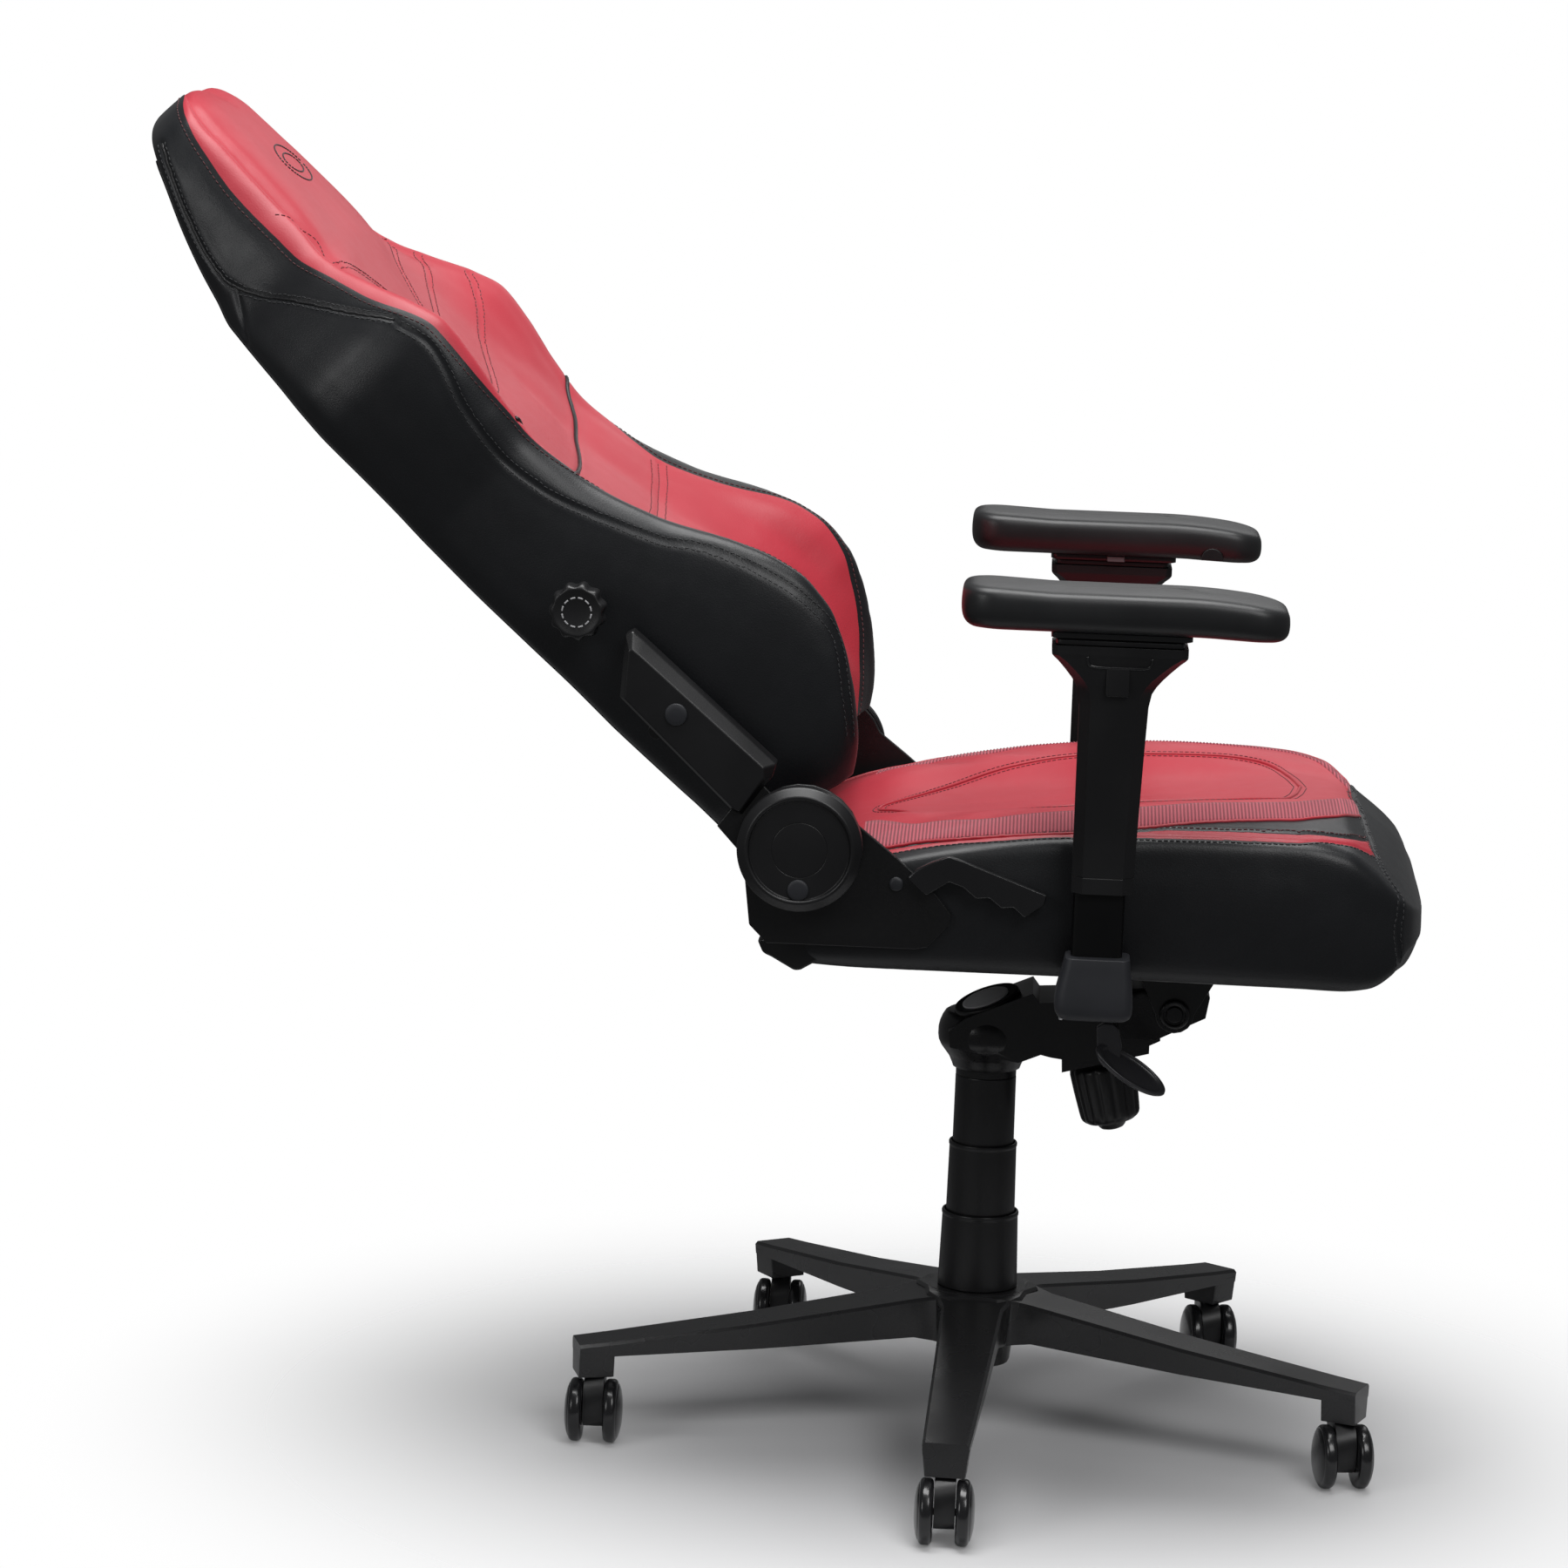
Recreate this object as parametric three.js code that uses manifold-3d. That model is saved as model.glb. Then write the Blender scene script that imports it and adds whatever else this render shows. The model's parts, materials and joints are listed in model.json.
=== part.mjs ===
// A reclining gaming chair as an assembly: five-star base on casters, gas column, tilt mechanism, seat,
// winged backrest on two recliner hinges, and a pair of adjustable arms.
// Millimetres, +Z up. The sitter faces -Y and +X is the sitter's left.
// The origin is on the floor, under the column's axis.

import * as THREE from "three";
import { mergeVertices } from "three/addons/utils/BufferGeometryUtils.js";
import Module from "manifold-3d";

const wasm = await Module();
wasm.setup();

// Driving dimensions: base and casters
const ARM_COUNT = 5;
const FIRST_ARM_ANGLE = 33; // degrees from +X
const STEM_CIRCLE = 340; // radius of the circle of caster stems
const ARM_END_BOTTOM = 57.5;
const HUB_TOP = 130;
const WHEEL_RADIUS = 28;
const WHEEL_SIDES = 20;
const WHEEL_INNER_FACE = 9.2; // from the caster's middle plane
const WHEEL_OUTER_FACE = 25;
const CASTER_TRAIL = 14;
const CASTER_HEADINGS = [0, 0, 0, 10, 10]; // degrees each caster has swivelled, as built
const AXLE_RADIUS = 3;
const AXLE_HEIGHT = WHEEL_RADIUS * Math.cos(Math.PI / WHEEL_SIDES);

// Column
const STAND_TUBE_RADIUS = 25;
const STAND_TUBE_TOP = 231;
const STAND_TUBE_BOTTOM = 60;
const GAS_CYLINDER_RADIUS = 14;
const GAS_STROKE = 80;
const ROD_RADIUS = 5;
const COLUMN_TOP = 320;

// Seat and mechanism
const SEAT_BOTTOM = 457;
const SEAT_HALF_WIDTH = 262;
const TILT_PIVOT = { y: -160, z: 396 };
const LEVER_PIVOT = { y: -102, z: 388 };
const KNOB_TOP = { y: -101, z: 334 };
const KNOB_LEAN = 12; // degrees, bottom of the knob towards the front

// Backrest and recliner
const HINGE = { y: 158.4, z: 562.6 };
const RECLINE = 46.65; // degrees back from upright, as built
const BACK_SPLIT_LOW = 388; // lumbar cushion to shoulder cushion, along the back from the hinge
const BACK_SPLIT_HIGH = 632; // shoulder cushion to head cushion
const LUMBAR = { height: 265, front: 6 }; // lumbar knob's axis, from the hinge along and in front of the back
const FRAME_STUB = { height: 149, front: -21 }; // where the inner frame meets the brackets

// Side layers, measured outwards from the middle plane
const SEAT_BRACKET = { inner: 264, outer: 269 };
const RECLINER = { inner: 269.3, outer: 275 };
const BACK_BRACKET = { inner: 275.3, outer: 288 };
const HINGE_COVER = { inner: 281, outer: 303 };
const ARM_POST_X = 290;
const ARM_PAD_X = 286;

// Arms
const ARM_Y = -87;
const SLEEVE_BOTTOM = 538;
const SLEEVE_TOP = 742;
const POST_TOP = 655;
const PAD_CENTRE_Y = -98;
const PAD_WIDTH = 100;
const PAD_BOTTOM = 753;

const GAP = 0.3; // running gap between touching pieces
const ROUND = 24; // sides of a round piece
const WELD_DISTANCE = 0.001;

// ---------------------------------------------------------------- looks

function look(color, roughness, metalness) {
  return new THREE.MeshStandardMaterial({ color, roughness, metalness });
}

const LOOKS = {
  redLeather: look(0xb8323f, 0.5, 0),
  blackLeather: look(0x1c1d20, 0.5, 0),
  paintedSteel: look(0x141416, 0.45, 0.5),
  paintedAluminium: look(0x1a1a1c, 0.5, 0.4),
  bareSteel: look(0x9a9ca0, 0.35, 0.9),
  blackPlastic: look(0x17181a, 0.6, 0),
  wheelPlastic: look(0x0d0d0f, 0.2, 0),
  armFoam: look(0x202124, 0.55, 0),
  greyPlastic: look(0x6d6f73, 0.5, 0),
};

// ---------------------------------------------------------------- geometry helpers

function radians(degrees) {
  return THREE.MathUtils.degToRad(degrees);
}

/** Shares equal corners and drops the triangles that this collapses. */
function weld(geometry) {
  const bare = new THREE.BufferGeometry();
  bare.setAttribute("position", geometry.getAttribute("position").clone());
  if (geometry.index) {
    bare.setIndex(geometry.index.clone());
  }
  const merged = mergeVertices(bare, WELD_DISTANCE);
  const corners = merged.index.array;
  const kept = [];
  for (let i = 0; i < corners.length; i += 3) {
    const triangle = [corners[i], corners[i + 1], corners[i + 2]];
    if (new Set(triangle).size === 3) {
      kept.push(...triangle);
    }
  }
  merged.setIndex(kept);
  return merged;
}

function manifoldOf(geometry) {
  const welded = weld(geometry);
  const vertProperties = new Float32Array(welded.getAttribute("position").array);
  const triVerts = new Uint32Array(welded.index.array);
  return new wasm.Manifold(new wasm.Mesh({ numProp: 3, vertProperties, triVerts }));
}

function geometryOf(manifold) {
  const mesh = manifold.getMesh();
  const geometry = new THREE.BufferGeometry();
  geometry.setAttribute("position", new THREE.BufferAttribute(new Float32Array(mesh.vertProperties), 3));
  geometry.setIndex(Array.from(mesh.triVerts));
  return geometry;
}

function join(first, ...others) {
  return geometryOf(others.reduce((sum, other) => sum.add(manifoldOf(other)), manifoldOf(first)));
}

function cut(first, ...others) {
  return geometryOf(others.reduce((rest, other) => rest.subtract(manifoldOf(other)), manifoldOf(first)));
}

/** Turns the triangles round if they face inwards. */
function facingOut(geometry) {
  const position = geometry.getAttribute("position");
  const corner = (i) => new THREE.Vector3().fromBufferAttribute(position, geometry.index.array[i]);
  let volume = 0;
  for (let i = 0; i < geometry.index.count; i += 3) {
    volume += corner(i).dot(corner(i + 1).cross(corner(i + 2)));
  }
  if (volume < 0) {
    geometry.setIndex(Array.from(geometry.index.array).reverse());
  }
  return geometry;
}

/** Triangles of a flat ring, wound the way the ring runs. */
function capFaces(ring) {
  const normal = new THREE.Vector3();
  ring.forEach((point, i) => normal.add(new THREE.Vector3().crossVectors(point, ring[(i + 1) % ring.length])));
  const size = normal.toArray().map(Math.abs);
  const dropped = size.indexOf(Math.max(...size));
  const [first, second] = [(dropped + 1) % 3, (dropped + 2) % 3];
  const flat = ring.map((point) => new THREE.Vector2(point.getComponent(first), point.getComponent(second)));
  const ringSign = Math.sign(normal.getComponent(dropped));
  return THREE.ShapeUtils.triangulateShape(flat, []).map(([a, b, c]) => {
    const turn = flat[b].clone().sub(flat[a]).cross(flat[c].clone().sub(flat[a]));
    return Math.sign(turn) === ringSign ? [a, b, c] : [a, c, b];
  });
}

/** Closed skin through rings of equal length, with a flat cap on each end. */
function loft(rings) {
  const count = rings[0].length;
  const points = rings.flat();
  const faces = [];
  for (let ring = 0; ring + 1 < rings.length; ring += 1) {
    for (let i = 0; i < count; i += 1) {
      const a = ring * count + i;
      const b = ring * count + ((i + 1) % count);
      faces.push(a, b, a + count, b, b + count, a + count);
    }
  }
  const lastRing = (rings.length - 1) * count;
  capFaces(rings[0]).forEach(([a, b, c]) => faces.push(a, c, b));
  capFaces(rings.at(-1)).forEach(([a, b, c]) => faces.push(lastRing + a, lastRing + b, lastRing + c));
  const geometry = new THREE.BufferGeometry().setFromPoints(points);
  geometry.setIndex(faces);
  return facingOut(geometry);
}

/** Pairs around a rectangle with rounded corners. */
function roundedPairs(halfA, halfB, radius, steps = 2) {
  const pairs = [];
  const corners = [[1, 1, 0], [-1, 1, 90], [-1, -1, 180], [1, -1, 270]];
  corners.forEach(([signA, signB, start]) => {
    for (let i = 0; i <= steps; i += 1) {
      const angle = radians(start + (90 * i) / steps);
      const a = signA * (halfA - radius) + radius * Math.cos(angle);
      const b = signB * (halfB - radius) + radius * Math.sin(angle);
      pairs.push([a, b]);
    }
  });
  return pairs;
}

/** Upright block with rounded corners: each level is [z, half X, half Y, corner radius, centre Y]. */
function tower(centreX, levels, steps = 2) {
  return loft(levels.map(([z, halfX, halfY, radius, centreY]) =>
    roundedPairs(halfX, halfY, radius, steps).map(([a, b]) => new THREE.Vector3(centreX + a, centreY + b, z))));
}

/** Block from low corner to high corner. */
function block(low, high) {
  const size = high.map((value, i) => value - low[i]);
  const geometry = new THREE.BoxGeometry(...size);
  return geometry.translate(...low.map((value, i) => value + size[i] / 2));
}

/** Turned piece about +Z from [radius, height] pairs. */
function turned(profile, sides = ROUND) {
  const points = profile.map(([radius, height]) => new THREE.Vector2(radius, height));
  return facingOut(weld(new THREE.LatheGeometry(points, sides).rotateX(Math.PI / 2)));
}

/** Ring-shaped turned piece: the profile closes on itself. */
function turnedRing(profile, sides = ROUND) {
  return turned([...profile, profile[0]], sides);
}

/** Cylinder along X between two distances. */
function crossRod(radius, fromX, toX, y, z, sides = 14) {
  const rod = new THREE.CylinderGeometry(radius, radius, Math.abs(toX - fromX), sides);
  return rod.rotateZ(Math.PI / 2).translate((fromX + toX) / 2, y, z);
}

/** Flat plate in the YZ plane, between two X distances, from [y, z] pairs. */
function sidePlate(outline, fromX, toX, holes = []) {
  const shape = new THREE.Shape(outline.map(([y, z]) => new THREE.Vector2(y, z)));
  holes.forEach(({ y, z, radius }) => shape.holes.push(new THREE.Path().absarc(y, z, radius, 0, 2 * Math.PI)));
  const [low, high] = [Math.min(fromX, toX), Math.max(fromX, toX)];
  const geometry = new THREE.ExtrudeGeometry(shape, { depth: high - low, bevelEnabled: false, curveSegments: 6 });
  const axes = new THREE.Matrix4().makeBasis(
    new THREE.Vector3(0, 1, 0),
    new THREE.Vector3(0, 0, 1),
    new THREE.Vector3(1, 0, 0),
  );
  return geometry.applyMatrix4(axes).translate(low, 0, 0);
}

/** Pairs along an arc, angles in degrees from the first axis. */
function arcPairs(centreA, centreB, radius, from, to, steps) {
  return Array.from({ length: steps + 1 }, (_, i) => {
    const angle = radians(from + ((to - from) * i) / steps);
    return [centreA + radius * Math.cos(angle), centreB + radius * Math.sin(angle)];
  });
}

function add(parent, name, geometry, material) {
  const mesh = new THREE.Mesh(weld(geometry), material);
  mesh.name = name;
  parent.add(mesh);
  return mesh;
}

// ---------------------------------------------------------------- base

/** One spoke of the base along +X: stations of [reach, half width, top, bottom]. */
function spoke() {
  const stations = [
    [4, 46, HUB_TOP, 86],
    [34, 42, HUB_TOP - 0.5, 86],
    [46, 32, 127, 87],
    [62, 27, 124, 89],
    [200, 23.5, 104, 81],
    [327, 20.5, 89.5, 76.5],
    [358, 19.5, 86.5, 75],
  ];
  const skin = loft(stations.map(([reach, half, top, bottom]) => {
    const [height, bevel] = [top - bottom, 2.5];
    return [
      [-half + bevel, top], [half - bevel, top], [half, top - bevel],
      [half - 0.08 * height, bottom], [-half + 0.08 * height, bottom], [-half, top - bevel],
    ].map(([y, z]) => new THREE.Vector3(reach, y, z));
  }));
  const endBlock = loft([[ARM_END_BOTTOM, 17], [80, 19.5]].map(([z, half]) =>
    roundedPairs(15.5, half, 2).map(([a, b]) => new THREE.Vector3(342.5 + a, b, z))));
  return join(skin, endBlock);
}

function starBase() {
  const hub = turned([[0, 84], [42, 84], [46, 88], [46, 127], [43, HUB_TOP], [0, HUB_TOP]]);
  const collar = turned([[0, 62], [30, 62], [31, 64], [34, 90], [0, 90]]);
  const spokes = armAngles().map((angle) => spoke().rotateZ(radians(angle)));
  const bore = turned([[0, 50], [STAND_TUBE_RADIUS + GAP, 50], [STAND_TUBE_RADIUS + GAP, 140], [0, 140]]);
  const sockets = armAngles().map((angle) =>
    turned([[0, 50], [5.8, 50], [5.8, 79], [0, 79]], 10).translate(STEM_CIRCLE, 0, 0).rotateZ(radians(angle)));
  return cut(join(hub, collar, ...spokes), bore, ...sockets);
}

function armAngles() {
  return Array.from({ length: ARM_COUNT }, (_, i) => FIRST_ARM_ANGLE + (360 / ARM_COUNT) * i);
}

/** Caster body with its stem on the Z axis; the wheels trail towards -X. */
function casterFork() {
  const outline = [
    [-13, ARM_END_BOTTOM - GAP], [-13, 50], [-9, 44],
    ...arcPairs(CASTER_TRAIL, AXLE_HEIGHT, 14, 205, 360, 6),
    [28, 42], [22, 52], [13, ARM_END_BOTTOM - GAP],
  ];
  const tongue = sidePlate(outline, -8.7, 8.7, [{ y: CASTER_TRAIL, z: AXLE_HEIGHT, radius: AXLE_RADIUS + GAP }]);
  const boss = tower(0, [[46, 12, 8.8, 3, 0], [ARM_END_BOTTOM - GAP, 13.5, 8.8, 3, 0]]);
  const stem = turned([[0, 52], [5.4, 52], [5.4, 77], [4.4, 78.5], [0, 78.5]], 10);
  return join(tongue.rotateZ(Math.PI / 2), boss, stem);
}

/** Two wheels on their axle, turned about the X axis. */
function casterWheels() {
  const half = [
    [0, WHEEL_OUTER_FACE], [18, 24.2], [26, 21], [WHEEL_RADIUS, 17], [WHEEL_RADIUS, 12],
    [26, WHEEL_INNER_FACE], [AXLE_RADIUS, WHEEL_INNER_FACE],
  ];
  const mirrored = [...half].reverse().map(([radius, along]) => [radius, -along]);
  const spool = turned([...half, ...mirrored], WHEEL_SIDES);
  return spool.rotateZ(Math.PI / WHEEL_SIDES).rotateX(Math.PI / 2);
}

function addCasters(chair) {
  armAngles().forEach((angle, i) => {
    const place = new THREE.Group();
    place.position.set(STEM_CIRCLE * Math.cos(radians(angle)), STEM_CIRCLE * Math.sin(radians(angle)), 0);
    place.rotation.z = radians(CASTER_HEADINGS[i]);
    chair.add(place);
    add(place, `caster_fork_${i + 1}`, casterFork(), LOOKS.blackPlastic);
    const wheels = add(place, `caster_wheels_${i + 1}`, casterWheels(), LOOKS.wheelPlastic);
    wheels.position.set(-CASTER_TRAIL, 0, AXLE_HEIGHT);
  });
}

// ---------------------------------------------------------------- column

function standTube() {
  const bushing = GAS_CYLINDER_RADIUS + 0.4;
  return turnedRing([
    [22.8, STAND_TUBE_BOTTOM], [STAND_TUBE_RADIUS, STAND_TUBE_BOTTOM], [STAND_TUBE_RADIUS, STAND_TUBE_TOP],
    [bushing, STAND_TUBE_TOP], [bushing, 172], [22.8, 166],
  ]);
}

/** Fixed rod of the gas spring with the swivel bearing's plate at its foot. */
function pistonRod() {
  return turned([[0, 61], [20, 61], [20, 69], [ROD_RADIUS, 69], [ROD_RADIUS, 238], [4, 240], [0, 240]], 24);
}

function gasCylinder() {
  const bottom = 69 + GAS_STROKE + 4;
  return turned([
    [0, 330], [5.5, 330], [5.5, bottom], [GAS_CYLINDER_RADIUS, bottom], [GAS_CYLINDER_RADIUS, 322],
    [12.8, 352], [0, 352],
  ], 24);
}

/** Telescopic cover: a slightly tapered shell with a small lip at the top. */
function columnCover(bottom, top, lowRadius, highRadius, innerRadius) {
  return turnedRing([
    [innerRadius, bottom], [lowRadius, bottom], [highRadius, top - 4], [highRadius + 0.6, top - 3],
    [highRadius + 0.6, top - 1], [highRadius, top], [innerRadius, top],
  ]);
}

function upperCover() {
  return turnedRing([
    [25.7, 250], [27, 250], [26.6, COLUMN_TOP - 1], [25.6, COLUMN_TOP - GAP],
    [GAS_CYLINDER_RADIUS + 0.5, COLUMN_TOP - GAP], [GAS_CYLINDER_RADIUS + 0.5, COLUMN_TOP - 4], [25.7, COLUMN_TOP - 4],
  ]);
}

function addColumn(chair) {
  add(chair, "column_tube", standTube(), LOOKS.paintedSteel);
  add(chair, "piston_rod", pistonRod(), LOOKS.bareSteel);
  add(chair, "gas_cylinder", gasCylinder(), LOOKS.paintedSteel);
  add(chair, "cover_lower", columnCover(HUB_TOP + GAP, 198, 35, 33.2, 31.4), LOOKS.blackPlastic);
  add(chair, "cover_middle", columnCover(188, 260, 30.4, 29.4, 27.9), LOOKS.blackPlastic);
  add(chair, "cover_upper", upperCover(), LOOKS.blackPlastic);
}

// ---------------------------------------------------------------- mechanism

function mechanismHousing() {
  const cup = turned([
    [0, COLUMN_TOP], [26.5, COLUMN_TOP], [26.5, 327], [41, 346], [43, 352], [43, 361], [37, 368], [0, 369],
  ]);
  const body = sidePlate([
    [32, 350], [34, 364], [20, 376], [-38, 401], [-44, 393], [-60, 394], [-78, 407], [-150, 411],
    [-150, 364], [-134, 356], [-80, 342], [-56, 345], [-47, 347], [-28, 339],
  ], -40, 40);
  const foot = sidePlate([[-66, 331], [-141, 351], [-141, 366], [-66, 350]], -34, 34);
  const front = sidePlate([
    [-112, 404], [-184, 418], [-190, 410], [-187, 392], [-145, 371], [-112, 371],
  ], -71, 71);
  const cylinderSeat = turned([[0, 300], [14.5, 300], [14.5, 322], [13.2, 354], [0, 354]], 24);
  const axleHole = crossRod(7 + GAP, -90, 90, TILT_PIVOT.y, TILT_PIVOT.z, 16);
  const leverHoles = crossRod(5 + GAP, -60, 60, LEVER_PIVOT.y, LEVER_PIVOT.z, 16);
  return cut(join(cup, body, foot, front), cylinderSeat, axleHole, leverHoles);
}

/** Knob with flutes, built upright with its top face at the origin, then leaned forward. */
function tensionKnob() {
  const flutes = 12;
  const levels = [[0, 27.5, 0], [-4, 29.5, 1.6], [-46, 26.5, 1.6], [-51, 22.5, 0.6], [-53, 13, 0], [-59, 9, 0]];
  const rings = levels.map(([z, radius, depth]) => Array.from({ length: 2 * flutes }, (_, i) => {
    const reach = radius - (i % 2) * depth;
    const angle = (Math.PI * i) / flutes;
    return new THREE.Vector3(reach * Math.cos(angle), reach * Math.sin(angle), z);
  }));
  return loft(rings).rotateX(radians(-KNOB_LEAN)).translate(0, KNOB_TOP.y, KNOB_TOP.z);
}

/** Lever on one side (-1 is the sitter's right): cross rod, stem and a sloping oval paddle. */
function sideLever(side) {
  const rod = crossRod(5, side * 10, side * 166, LEVER_PIVOT.y, LEVER_PIVOT.z, 16);
  const stem = sidePlate([
    [-93, 400], [-98, 403], [-106, 403], [-111, 400], [-113, 370], [-104, 366], [-94, 370],
  ], side * 158, side * 166);
  const oval = Array.from({ length: 20 }, (_, i) => {
    const angle = (Math.PI * i) / 10;
    return [side * 170 + 15 * Math.cos(angle), -34 * Math.sin(angle)];
  });
  const paddle = loft([-3.5, 3.5].map((z) => oval.map(([x, y]) => new THREE.Vector3(x, y, z))));
  paddle.rotateX(radians(32)).translate(0, -122, 364.5);
  return join(rod, stem, paddle);
}

function addMechanism(chair) {
  add(chair, "mechanism_housing", mechanismHousing(), LOOKS.paintedAluminium);
  add(chair, "tilt_axle", crossRod(7, -82, 82, TILT_PIVOT.y, TILT_PIVOT.z, 16), LOOKS.bareSteel);
  add(chair, "tension_knob", tensionKnob(), LOOKS.blackPlastic);
  add(chair, "height_lever", sideLever(-1), LOOKS.blackPlastic);
  add(chair, "tilt_lever", sideLever(1), LOOKS.blackPlastic);
}

// ---------------------------------------------------------------- seat

/** Steel plate between mechanism and seat pan, with two ears on the tilt axle. */
function seatPlate() {
  const sheet = block([-95, -215, 437], [95, 25, 442]);
  const earOutline = [
    ...arcPairs(TILT_PIVOT.y, TILT_PIVOT.z, 17, 180, 360, 8), [-128, 430], [-128, 439], [-196, 439], [-196, 430],
  ];
  const ears = [-1, 1].map((side) =>
    sidePlate(earOutline, side * 73, side * 78, [{ ...TILT_PIVOT, radius: 7 + GAP }]));
  const bosses = [-75, 75].flatMap((x) => [-200, 5].map((y) =>
    turned([[0, 441], [12, 441], [12, SEAT_BOTTOM - GAP], [0, SEAT_BOTTOM - GAP]], 10).translate(x, y, 0)));
  return join(sheet, ...ears, ...bosses);
}

function seatPanShape(grow) {
  return tower(0, [
    [SEAT_BOTTOM - (grow ? 20 : 0), 215 + grow, 215 + grow, 40, -90],
    [SEAT_BOTTOM + 16 + grow, 215 + grow, 215 + grow, 40, -90],
  ], 4);
}

/** Seat foam: stations from back to front of [y, half width, bottom, bottom edge, side top, crown]. */
function seatCushion() {
  const stations = [
    [186, 205, 474, 474, 500, 506],
    [176, 225, 462, 464, 522, 528],
    [150, 248, SEAT_BOTTOM, SEAT_BOTTOM, 533, 538],
    [100, 260, SEAT_BOTTOM, SEAT_BOTTOM, 548, 553],
    [30, SEAT_HALF_WIDTH, SEAT_BOTTOM, SEAT_BOTTOM, 564, 571],
    [-60, SEAT_HALF_WIDTH, SEAT_BOTTOM, SEAT_BOTTOM, 575, 584],
    [-180, SEAT_HALF_WIDTH, 456, 456, 580, 590],
    [-255, 260, 455, 455, 579, 589],
    [-290, 258, 453, 454, 572, 582],
    [-312, 254, 452, 456, 558, 569],
    [-332, 246, 452, 467, 540, 553],
    [-346, 230, 457, 486, 527, 541],
    [-357, 190, 470, 492, 517, 527],
    [-363, 120, 488, 496, 508, 514],
  ];
  const skin = loft(stations.map(([y, half, bottom, edge, side, crown]) => {
    const height = side - edge;
    const rightHalf = [
      [0, bottom], [0.6 * half, bottom + 0.2 * (edge - bottom)], [0.9 * half, edge],
      [0.98 * half, edge + 0.08 * height], [half, edge + 0.3 * height], [half, edge + 0.75 * height],
      [0.985 * half, side - 0.07 * height], [0.95 * half, side], [0.8 * half, side + 0.5 * (crown - side)],
      [0.4 * half, crown - 1], [0, crown],
    ];
    const leftHalf = rightHalf.slice(1, -1).reverse().map(([x, z]) => [-x, z]);
    return [...rightHalf, ...leftHalf].map(([x, z]) => new THREE.Vector3(x, y, z));
  }));
  return cut(skin, seatPanShape(0.5));
}

/** Steel side bracket that carries the recliner; outline in [y, z]. */
function seatBracket(side) {
  const outline = [
    ...arcPairs(HINGE.y, HINGE.z, 50, -20, 160, 12),
    [86, 560], [57, 536], [45, 524], [33, 509], [34, 501], [52, 481], [62, 479], [184, 479], [199, 494],
  ];
  return sidePlate(outline, side * SEAT_BRACKET.inner, side * SEAT_BRACKET.outer, [{ ...HINGE, radius: 6 + GAP }]);
}

function hingeCover(side) {
  const depth = HINGE_COVER.outer - HINGE_COVER.inner;
  const disc = turned([
    [0, 0], [50, 0], [51.5, 2], [51.5, depth - 6], [48, depth - 1], [43, depth], [41, depth - 3], [0, depth - 3],
  ], 28);
  return disc.rotateY((side * Math.PI) / 2).translate(side * HINGE_COVER.inner, HINGE.y, HINGE.z);
}

/** Geared disc between the seat bracket and the back bracket. */
function recliner(side) {
  const disc = crossRod(38, side * RECLINER.inner, side * RECLINER.outer, HINGE.y, HINGE.z, 20);
  return cut(disc, crossRod(6 + GAP, side * 260, side * 290, HINGE.y, HINGE.z, 16));
}

/** Release lever with finger waves on its lower edge. */
function reclineLever() {
  const waves = [[-27, 511], [-18, 519], [-8, 518], [2, 526], [13, 525], [24, 534], [36, 538]];
  const outline = [[70, 540], [62, 548], [50, 554], [37, 559], [26, 556], [-45, 530], [-43, 522], ...waves, [54, 526]];
  return sidePlate(outline, -270, -279);
}

/** Bracket under the seat pan, welded to the arm's inner post. */
function armBracket(side) {
  const foot = tower(side * 203, [
    [449, 98, 21, 3, ARM_Y], [456, 98, 21, 3, ARM_Y],
  ], 2);
  const post = tower(side * ARM_POST_X, [
    [449, 11, 21, 5, ARM_Y], [POST_TOP, 11, 21, 5, ARM_Y],
  ], 2);
  return join(foot, post);
}

function armBoot(side) {
  const shell = tower(side * 292, [
    [433, 20, 27, 8, -87], [438, 22.5, 31, 9, -86.5], [444, 23, 32, 9, -86], [485, 19.5, 26.5, 7, -88],
  ], 4);
  const inside = join(
    tower(side * ARM_POST_X, [[448, 12, 22, 5, ARM_Y], [500, 12, 22, 5, ARM_Y]], 2),
    tower(side * 250, [[448, 52, 22, 3, ARM_Y], [457, 52, 22, 3, ARM_Y]], 2),
  );
  return cut(shell, inside);
}

function addSeat(chair) {
  add(chair, "seat_plate", seatPlate(), LOOKS.paintedSteel);
  add(chair, "seat_pan", seatPanShape(0), LOOKS.paintedSteel);
  add(chair, "seat_cushion", seatCushion(), LOOKS.redLeather);
  add(chair, "recline_shaft", crossRod(6, -275, 275, HINGE.y, HINGE.z, 16), LOOKS.bareSteel);
  add(chair, "recline_lever", reclineLever(), LOOKS.blackPlastic);
  [[-1, "right"], [1, "left"]].forEach(([side, name]) => {
    add(chair, `seat_bracket_${name}`, seatBracket(side), LOOKS.paintedSteel);
    add(chair, `recliner_${name}`, recliner(side), LOOKS.bareSteel);
    add(chair, `hinge_cover_${name}`, hingeCover(side), LOOKS.blackPlastic);
    add(chair, `arm_bracket_${name}`, armBracket(side), LOOKS.paintedSteel);
    add(chair, `arm_boot_${name}`, armBoot(side), LOOKS.blackPlastic);
  });
}

// ---------------------------------------------------------------- backrest, built upright about its hinge

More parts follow.
